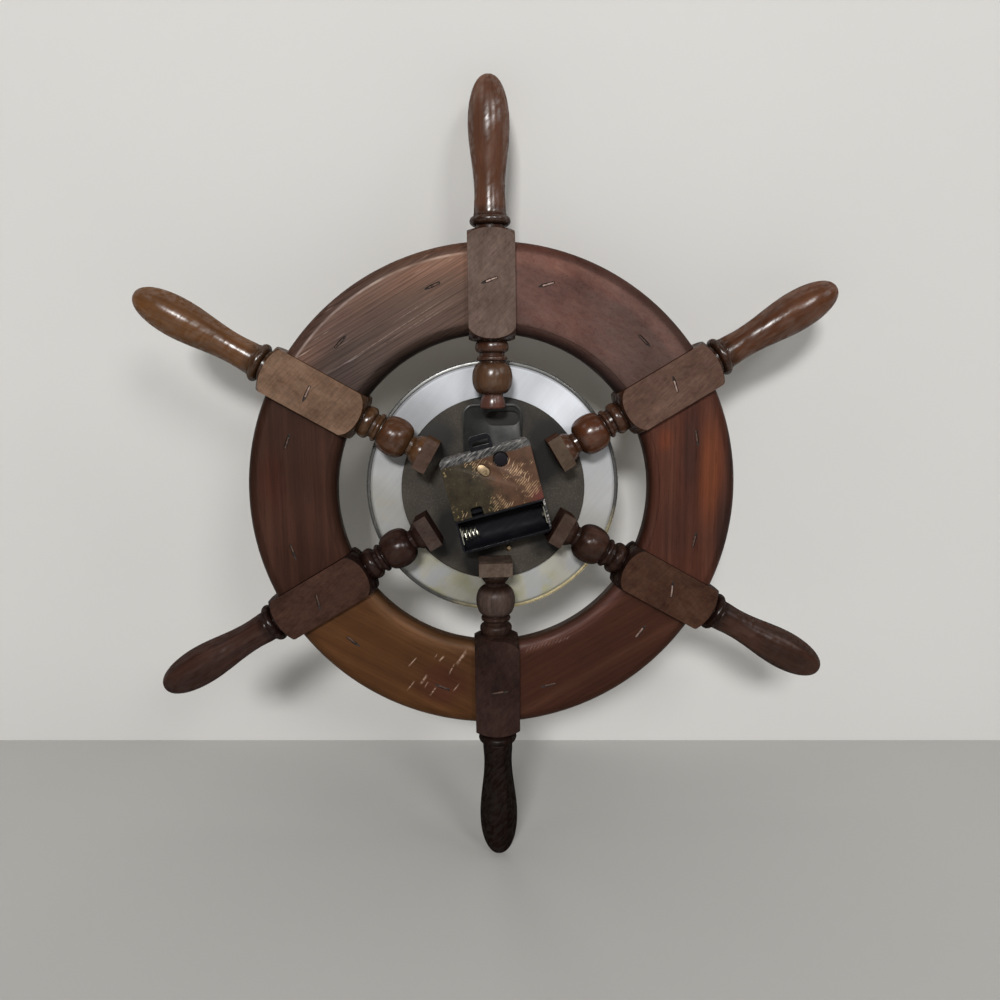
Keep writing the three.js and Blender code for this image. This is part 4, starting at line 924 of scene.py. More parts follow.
# the wood of the segments, by the hour that each lies at
rimLooks = {
    1: {**shades(((0.098, 0.054, 0.039), (0.122, 0.069, 0.050), (0.150, 0.087, 0.064))),
        "dustSheen": 0.3, "dustSheenColor": (0.185, 0.125, 0.098), "dustSheenScale": 900, "roughness": (0.42, 0.58),
        "bandScale": 60, "lineDepth": 0.40, "lineTop": 1.3, "lineScale": 1100, "stretch": 0.006,
        "scratches": (0.0, 0.6, 0.03),
        # the scratch colour also serves the painted highlight along the outer rounded edge
        "scratchColor": (0.42, 0.31, 0.25), "edgeHighlight": (134.6, 0.9),
        "across": [(10, (1.12, 1.06, 1.02)), (45, (1.0, 1.0, 1.0)), (85, (0.66, 0.70, 0.78)),
                   (115, (0.70, 0.70, 0.74))],
        "strokes": [((92, 69), (19, 114), 0.5), ((70, 79), (18, 111), 0.4), ((56, 96), (30, 112), 0.4),
                    ((46, 92), (20, 108), 0.35)],
        "strokeColor": (0.27, 0.20, 0.17),
        # painted shade on the inner rounded edge; lighter towards the outer edge, darker again on its
        # rounding
        "rings": [(90, 0.05), (92.5, 0.15), (95.5, 0.32), (98.5, (0.82, 0.88, 0.94)),
                  (114, (0.86, 0.92, 0.96)), (122, 1.0), (127, (1.40, 1.31, 1.24)), (131, (1.76, 1.66, 1.57)),
                  (134.5, (1.80, 1.69, 1.58)), (136, (0.85, 0.76, 0.70)), (141, (0.72, 0.60, 0.54))]},
    3: {**shades(((0.042, 0.017, 0.011), (0.054, 0.022, 0.014), (0.070, 0.030, 0.019))),
        "roughness": (0.34, 0.5), "lineDepth": 0.8, "poreMix": 0.3, "scratches": (0.2, 0.2, -0.02),
        "scratchColor": (0.13, 0.07, 0.05), "rings": shadedEdgeRings,
        "blotches": [((126, 10), (11, 24), (1.15, 0.95, 0.88)),
                   ((111, -46), (30, 42), (0.76, 0.72, 0.70))]},
    5: {**shades(((0.070, 0.028, 0.010), (0.087, 0.036, 0.013), (0.106, 0.046, 0.018))),
        "roughness": (0.32, 0.48), "lineDepth": 0.86, "poreMix": 0.25, "patchScale": 26,
        "strokes": [((24.3, -102.6), (18.0, -94.4), 1.9), ((34.6, -100.4), (31.1, -96.7), 1.4),
                    ((28.9, -108.8), (25.2, -101.6), 1.0), ((45.9, -114.2), (41.4, -107.9), 1.7),
                    ((40.5, -121.6), (36.2, -115.6), 1.1), ((26.6, -119.2), (22.3, -113.9), 0.9),
                    ((54.0, -118.0), (49.0, -111.6), 0.9), ((52.8, -103.0), (47.2, -97.0), 0.9),
                    ((21.9, -98.6), (17.9, -93.4), 1.0), ((11.2, -108.4), (9.1, -104.4), 0.8),
                    ((43.6, -116.6), (40.9, -112.2), 0.8), ((37.4, -98.6), (35.0, -95.2), 0.8)],
        "strokeColor": (0.34, 0.23, 0.17), "rings": litEdgeRings,
        "blotches": [((32, -114), (22, 18), (0.82, 0.68, 0.95))]},
    7: {**shades(((0.042, 0.015, 0.009), (0.052, 0.019, 0.011), (0.066, 0.026, 0.015))),
        "roughness": (0.34, 0.5), "lineDepth": 0.82, "poreMix": 0.3,
        "strokes": [((-17 - 2.2 * count, -96.2 + 0.6 * count + count * count % 3 * 0.5),
                     (-19.4 - 2.2 * count, -92.8 + 0.6 * count), 0.7 + count * count % 4 * 0.2)
                    for count in range(12)],
        "strokeColor": (0.15, 0.095, 0.078), "rings": litEdgeRings},
    9: {**shades(((0.062, 0.021, 0.013), (0.078, 0.027, 0.017), (0.100, 0.037, 0.023))),
        "roughness": (0.34, 0.5), "lineDepth": 0.76, "poreMix": 0.35, "scratches": (0.1, 0.2, -0.02),
        "scratchColor": (0.18, 0.09, 0.07), "rings": shadedEdgeRings,
        "blotches": [((-125.5, 10), (10, 46), (1.66, 1.40, 1.02)), ((-114, 22), (8, 44), (0.70, 0.80, 0.92)),
                   ((-99, 29), (7, 10), (1.45, 1.2, 1.0)), ((-104, -24), (18, 32), (0.74, 0.80, 0.86)),
                   ((-136, -26), (11, 44), (0.52, 0.66, 0.84)), ((-138, 22), (5, 34), (0.55, 0.70, 0.86))]},
    11: {**shades(((0.088, 0.040, 0.032), (0.116, 0.054, 0.043), (0.146, 0.071, 0.057))),
         "across": [(-100, (0.66, 0.76, 0.79)), (-70, (0.86, 0.94, 0.98)), (-45, (1.08, 1.05, 1.03)),
                    (-15, (1.0, 1.0, 1.0))],
         "dustSheen": 0.3, "dustSheenColor": (0.165, 0.110, 0.094), "dustSheenScale": 260, "roughness": (0.42, 0.6),
         "stretch": 0.4, "shortStretch": 0.5, "patchScale": 34, "patchDepth": 0.68,
         "bandScale": 48, "lineDepth": 0.86, "lineScale": 500, "scratches": (0.1, 0.3, 0.0),
         "scratchColor": (0.24, 0.15, 0.13),
         # painted shade on the inner rounded edge; lighter towards the outer edge, darker again on its
         # rounding
         "rings": [(90, 0.15), (92.5, 0.25), (95.5, 0.5), (97.5, 0.95), (114, 1.0),
                   (126, 1.16), (130, (1.60, 1.50, 1.44)), (134.5, (1.60, 1.50, 1.44)),
                   (136, (0.72, 0.58, 0.52)), (141, (0.55, 0.44, 0.38))]},
}


def rimProfile():
    half, bow, step = rim["thickness"] / 2, rim["edgeRound"], rim["step"]
    points = []
    for radius, depth, start in [
        (rim["outer"] - bow, half - bow, 0),
        (rim["inner"] + bow, half - bow, 1),
        (rim["inner"] + bow, -half + bow, 2),
        (rim["outer"] - bow, -half + bow, 3),
    ]:
        corner = []
        for count in range(rim["roundSteps"] + 1):
            angle = (start + count / rim["roundSteps"]) * math.pi / 2
            dx, dy = math.cos(angle), math.sin(angle)
            squeeze = (bow - step) / bow  # the round stops short of the face, which leaves a small step
            corner.append((radius + bow * dx, depth + bow * dy * squeeze))
        if start in (0, 2):
            corner.append((corner[-1][0], math.copysign(half, corner[-1][1])))
        else:
            corner.insert(0, (corner[0][0], math.copysign(half, corner[0][1])))
        points += corner
    return points


def makeRim():
    master = turned(rimProfile(), rim["steps"], "Y", closed=True)
    moved(master, 0, axisDepth, 0)
    editAll(master)
    for side in (-1, 1):
        normal = Vector((side * math.cos(hourAngle), 0, -math.sin(hourAngle)))
        bpy.ops.mesh.select_all(action="SELECT")
        bpy.ops.mesh.bisect(plane_co=normal * rim["gap"] * -mm, plane_no=normal,
                            use_fill=True, clear_outer=True)
    leaveEdit()
    cleanUp(master)
    for hour, look in rimLooks.items():
        piece = copied(master, f"wooden_rim_{hour}")
        angle = hour * hourAngle
        wood = makeWood(f"rim wood {hour}", {
            "turn": -angle + math.pi / 2, "seed": hour * 0.71, "specular": 0.08, "relief": 0.3, **look})
        paint(piece, wood)
        turnedTo(piece, angle)
        smooth(piece, 25)
        place(piece, "clock", "rim_wood", f"rim_segment_{hour}")
    bpy.data.objects.remove(master)


makeRim()
print("rim ready")

# hub board and clock housing: depths are counted from the spokes' axes

hub = {"radius": 55.0, "hole": 4.2, "back": -11.55, "thickness": 2.8, "chamfer": 0.6, "steps": 96}
housing = {
    "steps": 128,
    "panRadius": 74.0,
    "panSheet": 0.6,
    "panBack": -14.65,
    "panFront": -27.05,
    "panCorner": 2.0,
    "lensThickness": 1.5,
    "lensDome": 4.8,
    "bezelWall": 1.1,
    "bezelBead": 1.2,
    "bezelSkirt": 10.0,
    "bezelLip": 5.8,
    "bezelRoll": 2.6,
    "gap": 0.3,
}


def roundCorner(center, radius, start, end, steps):
    return [(center[0] + radius * math.cos(start + (end - start) * count / steps),
             center[1] + radius * math.sin(start + (end - start) * count / steps))
            for count in range(steps + 1)]


def latheClosed(profile, steps, name):
    piece = turned(profile, steps, "Y", closed=True)
    moved(piece, 0, axisDepth, 0)
    return named(piece, name)


# distance to the nearest of some places, as a share of 25 millimetres
def nearSpots(tree, vector, spots):
    nearest = 1.0
    for spot in spots:
        away = measured(tree, "DISTANCE", vector, tuple(Vector(spot) * mm))
        nearest = calculate(tree, "MINIMUM", times(tree, away, 1 / (25 * mm)), nearest)
    return nearest


# painted shadows round the feet of the end blocks: hour, distance from the wheel's centre and shift to one
# side
shadowedFeet = ((2, 44, -10), (4, 42, 12), (6, 45, -9), (8, 44, -9), (10, 44, 11), (12, 50, 0))
# more painted shadow: beside the top spoke's end and the bracket's slot, and at two places beside the case
shadowSpots = ((-9, 42), (-3, 43), (26, -22), (-28, 14))


def boardMaterial():
    material, tree, shader = startMaterial("dusty hub board")
    plain = objectSpace(tree)
    fine = noise(tree, plain, 900, 4, 0.65)
    cloud = noise(tree, plain, 26, 4, 0.6)
    color = ramp(tree, cloud, [(0.30, (0.029, 0.024, 0.019)), (0.70, (0.054, 0.046, 0.037))])
    dust = ramp(tree, fine, [(0.50, 0.0), (0.66, 1.0)])
    color = blendColors(tree, times(tree, dust, 0.3), color, (0.12, 0.106, 0.088))
    surface = axisDepth + hub["back"]
    spots = []
    for hour, reach, side in shadowedFeet:
        angle = hour * hourAngle
        spots.append((math.sin(angle) * reach + math.cos(angle) * side, surface,
                      math.cos(angle) * reach - math.sin(angle) * side))
    spots += [(side, surface, height) for side, height in shadowSpots]
    # painted shadow, darkest near these places, also makes the board less rough there
    near = plus(tree, nearSpots(tree, plain, spots), strayed(tree, cloud, 0.9))
    boardShadow = ramp(tree, near, [(0.30, 1.0), (0.66, 0.0)])
    color = blendColors(tree, boardShadow, color, (0.006, 0.005, 0.004))
    dullness = ramp(tree, boardShadow, [(0.0, 0.8), (1.0, 0.5)])
    finish(tree, shader, color, dullness, bump(tree, fine, 0.3, 0.15), specular=0.25)
    return material


panShare = 6.6  # turns a distance across the pan into a share of its width
# painted reflection: the pan lighter and bluer towards its top, darker and warmer towards its foot
panReflectionTones = [(0.10, (0.36, 0.35, 0.295)), (0.40, (0.37, 0.365, 0.35)), (0.80, (0.43, 0.445, 0.475))]


def panMaterial():
    material, tree, shader = startMaterial("dull pan steel")
    plain = objectSpace(tree)
    side, height = (sides(tree, plain)[name] for name in "XZ")
    # from nought at the foot of the pan to one at its top
    level = plus(tree, times(tree, plus(tree, height, times(tree, side, -0.1)), panShare), 0.5)
    cloud = noise(tree, plain, 34, 4, 0.6)
    broad = noise(tree, plain, 16, 2, 0.5)
    color = ramp(tree, plus(tree, level, strayed(tree, cloud, 0.5)), panReflectionTones)
    yellowPatches = times(tree, ramp(tree, noise(tree, plain, 48, 3, 0.5), [(0.46, 0.0), (0.60, 0.8)]),
                    ramp(tree, level, [(0.12, 1.0), (0.5, 0.0)]))
    color = blendColors(tree, yellowPatches, color, (0.31, 0.30, 0.19))
    cool = times(tree, ramp(tree, noise(tree, plain, 61, 3, 0.5), [(0.50, 0.0), (0.62, 0.7)]),
                 ramp(tree, level, [(0.12, 1.0), (0.5, 0.2)]))
    color = blendColors(tree, cool, color, (0.32, 0.33, 0.36))
    color = shaded(tree, color, ramp(tree, broad, [(0.35, 0.74), (0.62, 1.12)]), 0.9)
    across = plus(tree, times(tree, side, panShare), 0.5)
    color = shaded(tree, color, ramp(tree, across, [(0.15, 1.12), (0.5, 0.98), (0.9, 0.86)]))
    # a brighter patch high on one side of the ring, and a painted shadow high on the other
    ringDepth = axisDepth + housing["panBack"]
    for spot, shade in (((-45, ringDepth, 45), 1.55), ((45, ringDepth, 45), 0.70)):
        color = shaded(tree, color, ramp(tree, nearSpots(tree, plain, [spot]), [(0.3, shade), (1.0, 1.0)]))
    streaks = noise(tree, objectSpace(tree, (0, 0.7, 0), (1, 1, 0.05)), 500, 3, 0.5)
    color = shaded(tree, color, ramp(tree, streaks, [(0.35, 0.82), (0.62, 1.05)]), 0.2)
    dullness = ramp(tree, cloud, [(0.3, 0.42), (0.7, 0.6)])
    finish(tree, shader, color, dullness, bump(tree, cloud, 0.1, 0.4), metallic=0.3)
    return material


# roughness: where the metal is bright, and where it is dull
def metalMaterial(name, bright, dull, roughness, metallic=1.0, scale=120, relief=0.1):
    material, tree, shader = startMaterial(name)
    cloud = noise(tree, objectSpace(tree), scale, 5, 0.65)
    scratches = noise(tree, objectSpace(tree, (0.3, 0.8, 0.2), (1, 1, 0.04)), 900, 3, 0.5)
    color = ramp(tree, cloud, [(0.35, dull), (0.62, bright)])
    color = shaded(tree, color, ramp(tree, scratches, [(0.33, 0.7), (0.6, 1.05)]), 0.6)
    dullness = ramp(tree, cloud, [(0.3, roughness[1]), (0.7, roughness[0])])
    finish(tree, shader, color, dullness, bump(tree, scratches, relief, 0.1), metallic=metallic)
    return material


def plasticMaterial(name, color, worn, roughness, scale=90, relief=0.15, specular=0.5):
    material, tree, shader = startMaterial(name)
    plain = objectSpace(tree)
    cloud = noise(tree, plain, scale, 5, 0.6)
    grain = noise(tree, plain, 1800, 2, 0.5)
    scratches = noise(tree, objectSpace(tree, (0, 0.9, 0), (1, 1, 0.03)), 600, 2, 0.4)
    mixed = blendColors(tree, ramp(tree, cloud, [(0.45, 0.0), (0.80, 0.5)]), color, worn)
    drawn = times(tree, ramp(tree, scratches, [(0.60, 0.0), (0.66, 1.0)]), 0.5)
    mixed = blendColors(tree, drawn, mixed, worn)
    dullness = ramp(tree, cloud, [(0.3, roughness[0]), (0.7, roughness[1])])
    finish(tree, shader, mixed, dullness, bump(tree, grain, relief, 0.05), specular=specular)
    return material


def glassMaterial():
    material, tree, shader = startMaterial("clear lens")
    haze = noise(tree, objectSpace(tree), 60, 4, 0.6)
    clear = addNode(tree, "ShaderNodeBsdfTransparent", {"Color": (0.96, 0.975, 0.97)})
    shine = addNode(tree, "ShaderNodeBsdfGlossy", {
        "Color": (1.0, 1.0, 1.0), "Roughness": ramp(tree, haze, [(0.4, 0.03), (0.7, 0.09)])})
    # light leaves the glass unhindered: only the side that it meets from outside shines
    leaving = addNode(tree, "ShaderNodeNewGeometry").outputs["Backfacing"]
    edge = times(tree, addNode(tree, "ShaderNodeFresnel", {"IOR": 1.35}).outputs[0],
                 calculate(tree, "SUBTRACT", 1.0, leaving))
    mixed = addNode(tree, "ShaderNodeMixShader", {0: edge, 1: clear.outputs[0], 2: shine.outputs[0]})
    tree.nodes.remove(shader)
    tree.links.new(mixed.outputs[0], tree.nodes["Material Output"].inputs[0])
    return material


# the rolled back edge is dark grey metal, gold low on one side: partly the brass, partly a painted highlight
def wornEdgeMaterial():
    material, tree, shader = startMaterial("bezel edge with painted highlight")
    plain = objectSpace(tree)
    side, height = (sides(tree, plain)[name] for name in "XZ")
    low = plus(tree, times(tree, height, -9.0), times(tree, side, -5.0))
    cloud = noise(tree, plain, 160, 4, 0.6)
    color = blendColors(tree, ramp(tree, low, [(0.48, 0.0), (0.70, 1.0)]), (0.14, 0.14, 0.135),
                        (0.98, 0.84, 0.50))
    color = shaded(tree, color, ramp(tree, cloud, [(0.35, 0.6), (0.65, 1.1)]), 0.8)
    dullness = ramp(tree, cloud, [(0.3, 0.36), (0.7, 0.2)])
    finish(tree, shader, color, dullness, bump(tree, cloud, 0.1, 0.1), metallic=0.75)
    return material


def makeHub():
    back, front = hub["back"], hub["back"] - hub["thickness"]
    chamfer, radius = hub["chamfer"], hub["radius"]
    piece = latheClosed([
        (hub["hole"], front), (radius - chamfer, front), (radius, front + chamfer),
        (radius, back - chamfer), (radius - chamfer, back), (hub["hole"], back)], hub["steps"], "hub_board")
    softened(piece, 0.15, 25, 2)
    smooth(piece, 25)
    paint(piece, boardMaterial())
    place(piece, "clock", "hub_board", "hub_plate")


def makePan():
    h = housing
    floor = h["panBack"] - h["panSheet"]
    outer, inner = h["panRadius"], h["panRadius"] - h["panSheet"]
    corner = h["panCorner"]
    points = [(hub["hole"], floor)]
    points += roundCorner((inner - corner, floor - corner), corner, math.pi / 2, 0, 6)
    points += [(inner, h["panFront"]), (outer, h["panFront"])]
    points += roundCorner((outer - corner, h["panBack"] - corner), corner, 0, math.pi / 2, 6)
    points += [(hub["hole"], h["panBack"])]
    piece = latheClosed(points, h["steps"], "dial_pan_round")
    smooth(piece, 30)
    paint(piece, panMaterial())
    place(piece, "clock", "pan_steel", "dial_pan")


def makeBezel():
    h = housing
    wall, bead, roll = h["bezelWall"], h["bezelBead"], h["bezelRoll"]
    inner = h["panRadius"] + h["gap"]
    outer = inner + wall
    seat = h["panFront"] - h["gap"] - h["lensThickness"] - h["gap"]
    skirt = h["panFront"] + h["bezelSkirt"]
    lip = h["panRadius"] - h["bezelLip"]
    points = [(lip, seat), (lip, seat - wall)]
    points += roundCorner((lip + roll, seat - wall - 0.2), roll * 0.62, math.pi, math.pi * 1.5, 6)
    points += roundCorner((outer + bead - 3.4, seat + 0.9), 3.3, math.pi * 1.5, math.pi * 2, 8)
    points += [(outer + bead, h["panFront"] - h["gap"] - 0.2)]
    points += roundCorner((outer, h["panFront"] + 0.4), bead * 0.7, -0.2, math.pi / 2, 4)
    points += [(outer, skirt - 2 * bead)]
    points += roundCorner((outer, skirt - bead), bead * 0.95, -math.pi / 2, math.pi / 2, 8)
    points += [(inner, skirt), (inner, seat)]
    piece = latheClosed(points, h["steps"], "bezel_ring")
    smooth(piece, 40)
    paint(piece, metalMaterial("bezel brass", (0.62, 0.46, 0.23), (0.34, 0.26, 0.15), (0.24, 0.46),
                               scale=60), wornEdgeMaterial())
    paintFaces(piece, 1, lambda spot, normal: spot.y - axisDepth > skirt - 3 * bead)
    place(piece, "clock", "bezel_brass", "bezel")


def makeLens():
    h = housing
    back = h["panFront"] - h["gap"]
    front = back - h["lensThickness"]
    flat = h["panRadius"] - h["bezelLip"] - h["gap"]
    rings = 10
    outside, inside = [], []
    for ring in range(rings + 1):
        share = ring / rings
        rise = h["lensDome"] * math.cos(share * math.pi / 2)
        outside.append((flat * share, front - rise))
        inside.append((flat * share, back - rise))
    points = outside + [(h["panRadius"], front), (h["panRadius"], back)] + list(reversed(inside))
    piece = turned(points, h["steps"], "Y")
    moved(piece, 0, axisDepth, 0)
    named(piece, "domed_lens")
    smooth(piece, 40)
    paint(piece, glassMaterial())
    place(piece, "clock", "lens_glass", "lens")


makeHub()
makePan()
makeBezel()
makeLens()
print("hub board and housing ready")

# dial with plain numbers and a minute track

dial = {
    "radius": 70.8,
    "front": -16.15,
    "back": -15.55,
    "numberRadius": 51.0,
    "numberSize": 12.5,
    "trackInner": 60.6,
    "trackOuter": 64.2,
    "line": 0.35,
    "hourTick": (0.55, 1.2),  # half its width, and how far it reaches in past the track
    "minuteTick": (0.2, 0),
    "print": 0.03,
    "sunk": 0.01,
    "swelling": 0.1,
}


def dialMaterial():
    material, tree, shader = startMaterial("cream dial card")
    plain = objectSpace(tree)
    cloud = noise(tree, plain, 22, 4, 0.6)
    grain = noise(tree, plain, 1500, 3, 0.6)
    color = ramp(tree, cloud, [(0.3, (0.62, 0.54, 0.40)), (0.7, (0.72, 0.65, 0.51))])
    finish(tree, shader, color, ramp(tree, grain, [(0.3, 0.5), (0.7, 0.66)]), bump(tree, grain, 0.1, 0.05))
    return material


def inkMaterial():
    material, tree, shader = startMaterial("black dial ink")
    cloud = noise(tree, objectSpace(tree), 300, 4, 0.6)
    color = ramp(tree, cloud, [(0.3, (0.012, 0.011, 0.010)), (0.75, (0.030, 0.027, 0.024))])
    finish(tree, shader, color, ramp(tree, cloud, [(0.3, 0.45), (0.7, 0.6)]), bump(tree, cloud, 0.1, 0.02))
    return material


# a number as flat print, made a mesh before it takes its place
def makeNumber(hour, surface):
    deselectAll()
    bpy.ops.object.text_add(location=(0, 0, 0))
    letters = bpy.context.object.data
    letters.body = str(hour)
    letters.size = dial["numberSize"] * mm
    letters.align_x = "CENTER"
    letters.align_y = "CENTER"
    letters.extrude = dial["print"] * mm
    letters.offset = dial["swelling"] * mm
    bpy.ops.object.convert(target="MESH")
    number = bpy.context.object
    number.rotation_euler = (math.pi / 2, 0, 0)
    applyPlace(number)
    angle = hour * hourAngle
    reach = dial["numberRadius"]
    return moved(number, math.sin(angle) * reach, surface, math.cos(angle) * reach)


def makeDial():
    d = dial
    hole, edge, front, back = hub["hole"], d["radius"], d["front"], d["back"]
    piece = latheClosed([(hole, front), (edge, front), (edge, back), (hole, back)], housing["steps"],
                        "dial_card")
    smooth(piece, 25)
    paint(piece, dialMaterial())
    place(piece, "clock", "dial_card", "dial")
    surface = axisDepth + front
    marks = []
    for minute in range(60):
        wide, longer = d["minuteTick"] if minute % 5 else d["hourTick"]
        tick = addBlock((-wide, surface - d["print"], d["trackInner"] - longer),
                        (wide, surface + d["sunk"], d["trackOuter"]))
        marks.append(turnedTo(tick, fullTurn * minute / 60))
    high, low = front - d["print"] - d["sunk"] / 2, front + d["sunk"]
    for radius in (d["trackInner"], d["trackOuter"]):
        wide = radius + d["line"]
        ring = turned([(radius, high), (wide, high), (wide, low), (radius, low)], 120, "Y", closed=True)
        marks.append(moved(ring, 0, axisDepth, 0))
    for hour in range(1, 13):
        marks.append(makeNumber(hour, surface))
    printed = joinAll(marks, "dial_numbers")
    paint(printed, inkMaterial())
    place(printed, "clock", "hand_black")


makeDial()
print("dial ready")

# bright colour, dull colour, roughness of either, share of metal, size of the cloudy wear and relief
metals = {name: metalMaterial(name, *look) for name, look in {
    "shaft brass": ((0.70, 0.52, 0.26), (0.40, 0.29, 0.14), (0.24, 0.42)),
    "contact metal": ((0.66, 0.64, 0.53), (0.34, 0.33, 0.27), (0.28, 0.45)),
    "clip brass": ((0.54, 0.40, 0.25), (0.24, 0.17, 0.10), (0.32, 0.5), 1.0, 420),
    "blackened bracket steel": ((0.013, 0.013, 0.012), (0.004, 0.004, 0.004), (0.36, 0.6), 0.3, 45, 0.2),
    "screw steel": ((0.50, 0.50, 0.50), (0.30, 0.29, 0.28), (0.3, 0.5)),
    "stator steel": ((0.46, 0.46, 0.47), (0.34, 0.34, 0.34), (0.35, 0.5)),
    "rotor magnet": ((0.20, 0.20, 0.21), (0.13, 0.13, 0.13), (0.35, 0.5)),
    "coil copper": ((0.55, 0.26, 0.13), (0.36, 0.16, 0.08), (0.32, 0.5)),
    "rubbed staple wire": ((0.33, 0.22, 0.18), (0.13, 0.08, 0.06), (0.45, 0.65), 0.2, 520),
    "rusty staple steel": ((0.105, 0.052, 0.034), (0.020, 0.012, 0.009), (0.6, 0.85), 0.1, 520),
}.items()}
# fresh colour, worn colour, roughness, size of the cloudy wear, relief and shine
plastics = {name: plasticMaterial(name, *look) for name, look in {
    "black hand paint": ((0.012, 0.012, 0.012), (0.05, 0.045, 0.04), (0.25, 0.4), 200, 0.05),
    "black case plastic": ((0.004, 0.004, 0.006), (0.010, 0.010, 0.012), (0.5, 0.75), 110, 0.2, 0.1),
    "grey knob plastic": ((0.007, 0.006, 0.008), (0.022, 0.019, 0.020), (0.5, 0.7), 200, 0.1, 0.1),
    "white train plastic": ((0.62, 0.61, 0.56), (0.50, 0.48, 0.42), (0.35, 0.5), 200, 0.05),
    "green board": ((0.020, 0.085, 0.045), (0.06, 0.12, 0.08), (0.35, 0.5), 150, 0.1),
}.items()}

# the hands, bush, washer and nut are the nodes with their edges broken
for hand in ("hour_hand", "minute_hand", "second_hand"):
    piece = edgeBroken(hand, hand + "_blade", 0.08, 35, 1)
    paint(piece, plastics["black hand paint"])
    place(piece, hand, "hand_black", hand)
for brass in ("threaded_bush", "shaft_washer", "shaft_nut"):
    piece = edgeBroken(brass, brass + "_turned", 0.12, 40, 1)
    paint(piece, metals["shaft brass"])
    place(piece, "clock", "shaft_brass", brass)
print("hands ready")

# the movement is turned on its hub, and its foil and case are marked in its own upright frame
caseTurn = math.radians(14)
foilDepth = axisDepth + 5.7
# places there: distance to one side, and height
foilSpots = {
    "glints": [(14, -30), (8, -30), (3, -30), (-26.5, -15), (-26.5, -20), (26.5, -17), (0, 34)],
    "flecks": [(25, 23), (24, -8), (10, -8), (4, 20), (-2, -6)],
    "streaks": [(-16, 8), (-18, 2), (-21, -3), (5, 18), (-1, -9)],
    "redCorner": [(-25, -9)],
}


def nearFoil(tree, vector, name):
    return nearSpots(tree, vector, [(side, foilDepth, height) for side, height in foilSpots[name]])


# strokes that lie beside one another: first start and end, shift from one to the next, width and number
def strokeRow(start, end, shift, width, count):
    return [((start[0] + shift[0] * step, start[1] + shift[1] * step),
             (end[0] + shift[0] * step, end[1] + shift[1] * step), width) for step in range(count)]


# olive on one side and copper on the other, divided by a slanted line: the copper side partly the foil's
# colour, partly a painted reflection
def foilColor(tree, flat, cloud):
    split = sides(tree, flat)
    side = calculate(tree, "SUBTRACT", times(tree, split["Z"], 0.29), split["X"])
    side = plus(tree, side, strayed(tree, cloud, 16 * mm))
    copper = ramp(tree, plus(tree, times(tree, side, 100.0), 0.4), [(0.0, 0.0), (1.0, 1.0)])
    olive = ramp(tree, cloud, [(0.30, (0.016, 0.012, 0.006)), (0.70, (0.050, 0.037, 0.019))])
    flecks = ramp(tree, noise(tree, flat, 700, 3, 0.6), [(0.60, 0.0), (0.70, 1.0)])
    gilt = ramp(tree, nearFoil(tree, flat, "flecks"), [(0.12, 1.0), (0.36, 0.10)])
    olive = blendColors(tree, times(tree, flecks, gilt), olive, (0.34, 0.25, 0.11))
    warm = ramp(tree, cloud, [(0.30, (0.047, 0.022, 0.012)), (0.70, (0.105, 0.050, 0.026))])
    corner = ramp(tree, nearFoil(tree, flat, "redCorner"), [(0.06, 0.6), (0.30, 0.0)])
    warm = blendColors(tree, corner, warm, (0.13, 0.026, 0.026))
    return blendColors(tree, copper, olive, warm)


# painted glints: short pale slanted streaks, mostly on the copper side and near the upper edge
def foilStreaks(tree, flat, color):
    drawn = objectSpace(tree, (0, math.radians(38), 0))
    wave = addNode(tree, "ShaderNodeTexWave", {
        "Vector": drawn, "Scale": 260.0, "Distortion": 3.0, "Detail": 3.0, "Detail Scale": 3.0})
    streaks = ramp(tree, wave.outputs["Fac"], [(0.52, 0.0), (0.95, 1.0)])
    ragged = strayed(tree, noise(tree, flat, 300, 4, 0.6), 1.6)
    away = plus(tree, nearFoil(tree, flat, "streaks"), ragged)
    shine = times(tree, streaks, ramp(tree, away, [(0.02, 0.8), (0.20, 0.0)]))
    color = blendColors(tree, shine, color, (0.46, 0.30, 0.17))
    strokes = strokeRow((-11.5, 13.5), (-14.0, 17.5), (-1.7, -2.6), 0.55, 6)
    strokes += strokeRow((-4, -10.4), (-6.4, -7.6), (-1.6, 0), 0.6, 3)
    strokes += strokeRow((22, -9.8), (19.8, -7.0), (-1.8, 0), 0.5, 2)
    return blendColors(tree, strokeShare(tree, flat, strokes), color, (0.52, 0.36, 0.22))


# above the foil the plate is bare black plastic, with painted glints as grey slanted streaks
def barePlate(tree, flat, cloud, color):
    slanted = objectSpace(tree, (0, math.radians(48), 0), (1, 1, 0.12))
    glints = ramp(tree, noise(tree, slanted, 1500, 4, 0.6), [(0.46, 0.0), (0.66, 0.75)])
    bare = blendColors(tree, glints, (0.014, 0.014, 0.015), (0.27, 0.255, 0.24))
    edge = plus(tree, sides(tree, flat)["Z"], strayed(tree, cloud, 4 * mm))
    return blendColors(tree, ramp(tree, times(tree, edge, 20.0), [(0.415, 0.0), (0.43, 1.0)]), color, bare)


def foilMaterial():
    material, tree, shader = startMaterial("cover foil with painted glints")
    flat = objectSpace(tree, (0, -caseTurn, 0))
    cloud = noise(tree, flat, 120, 4, 0.65)
    color = foilStreaks(tree, flat, foilColor(tree, flat, cloud))
    color = barePlate(tree, flat, cloud, color)
    dullness = ramp(tree, cloud, [(0.3, 0.42), (0.7, 0.62)])
    finish(tree, shader, color, dullness, bump(tree, cloud, 0.25, 0.3), metallic=0.3, specular=0.3)
    return material


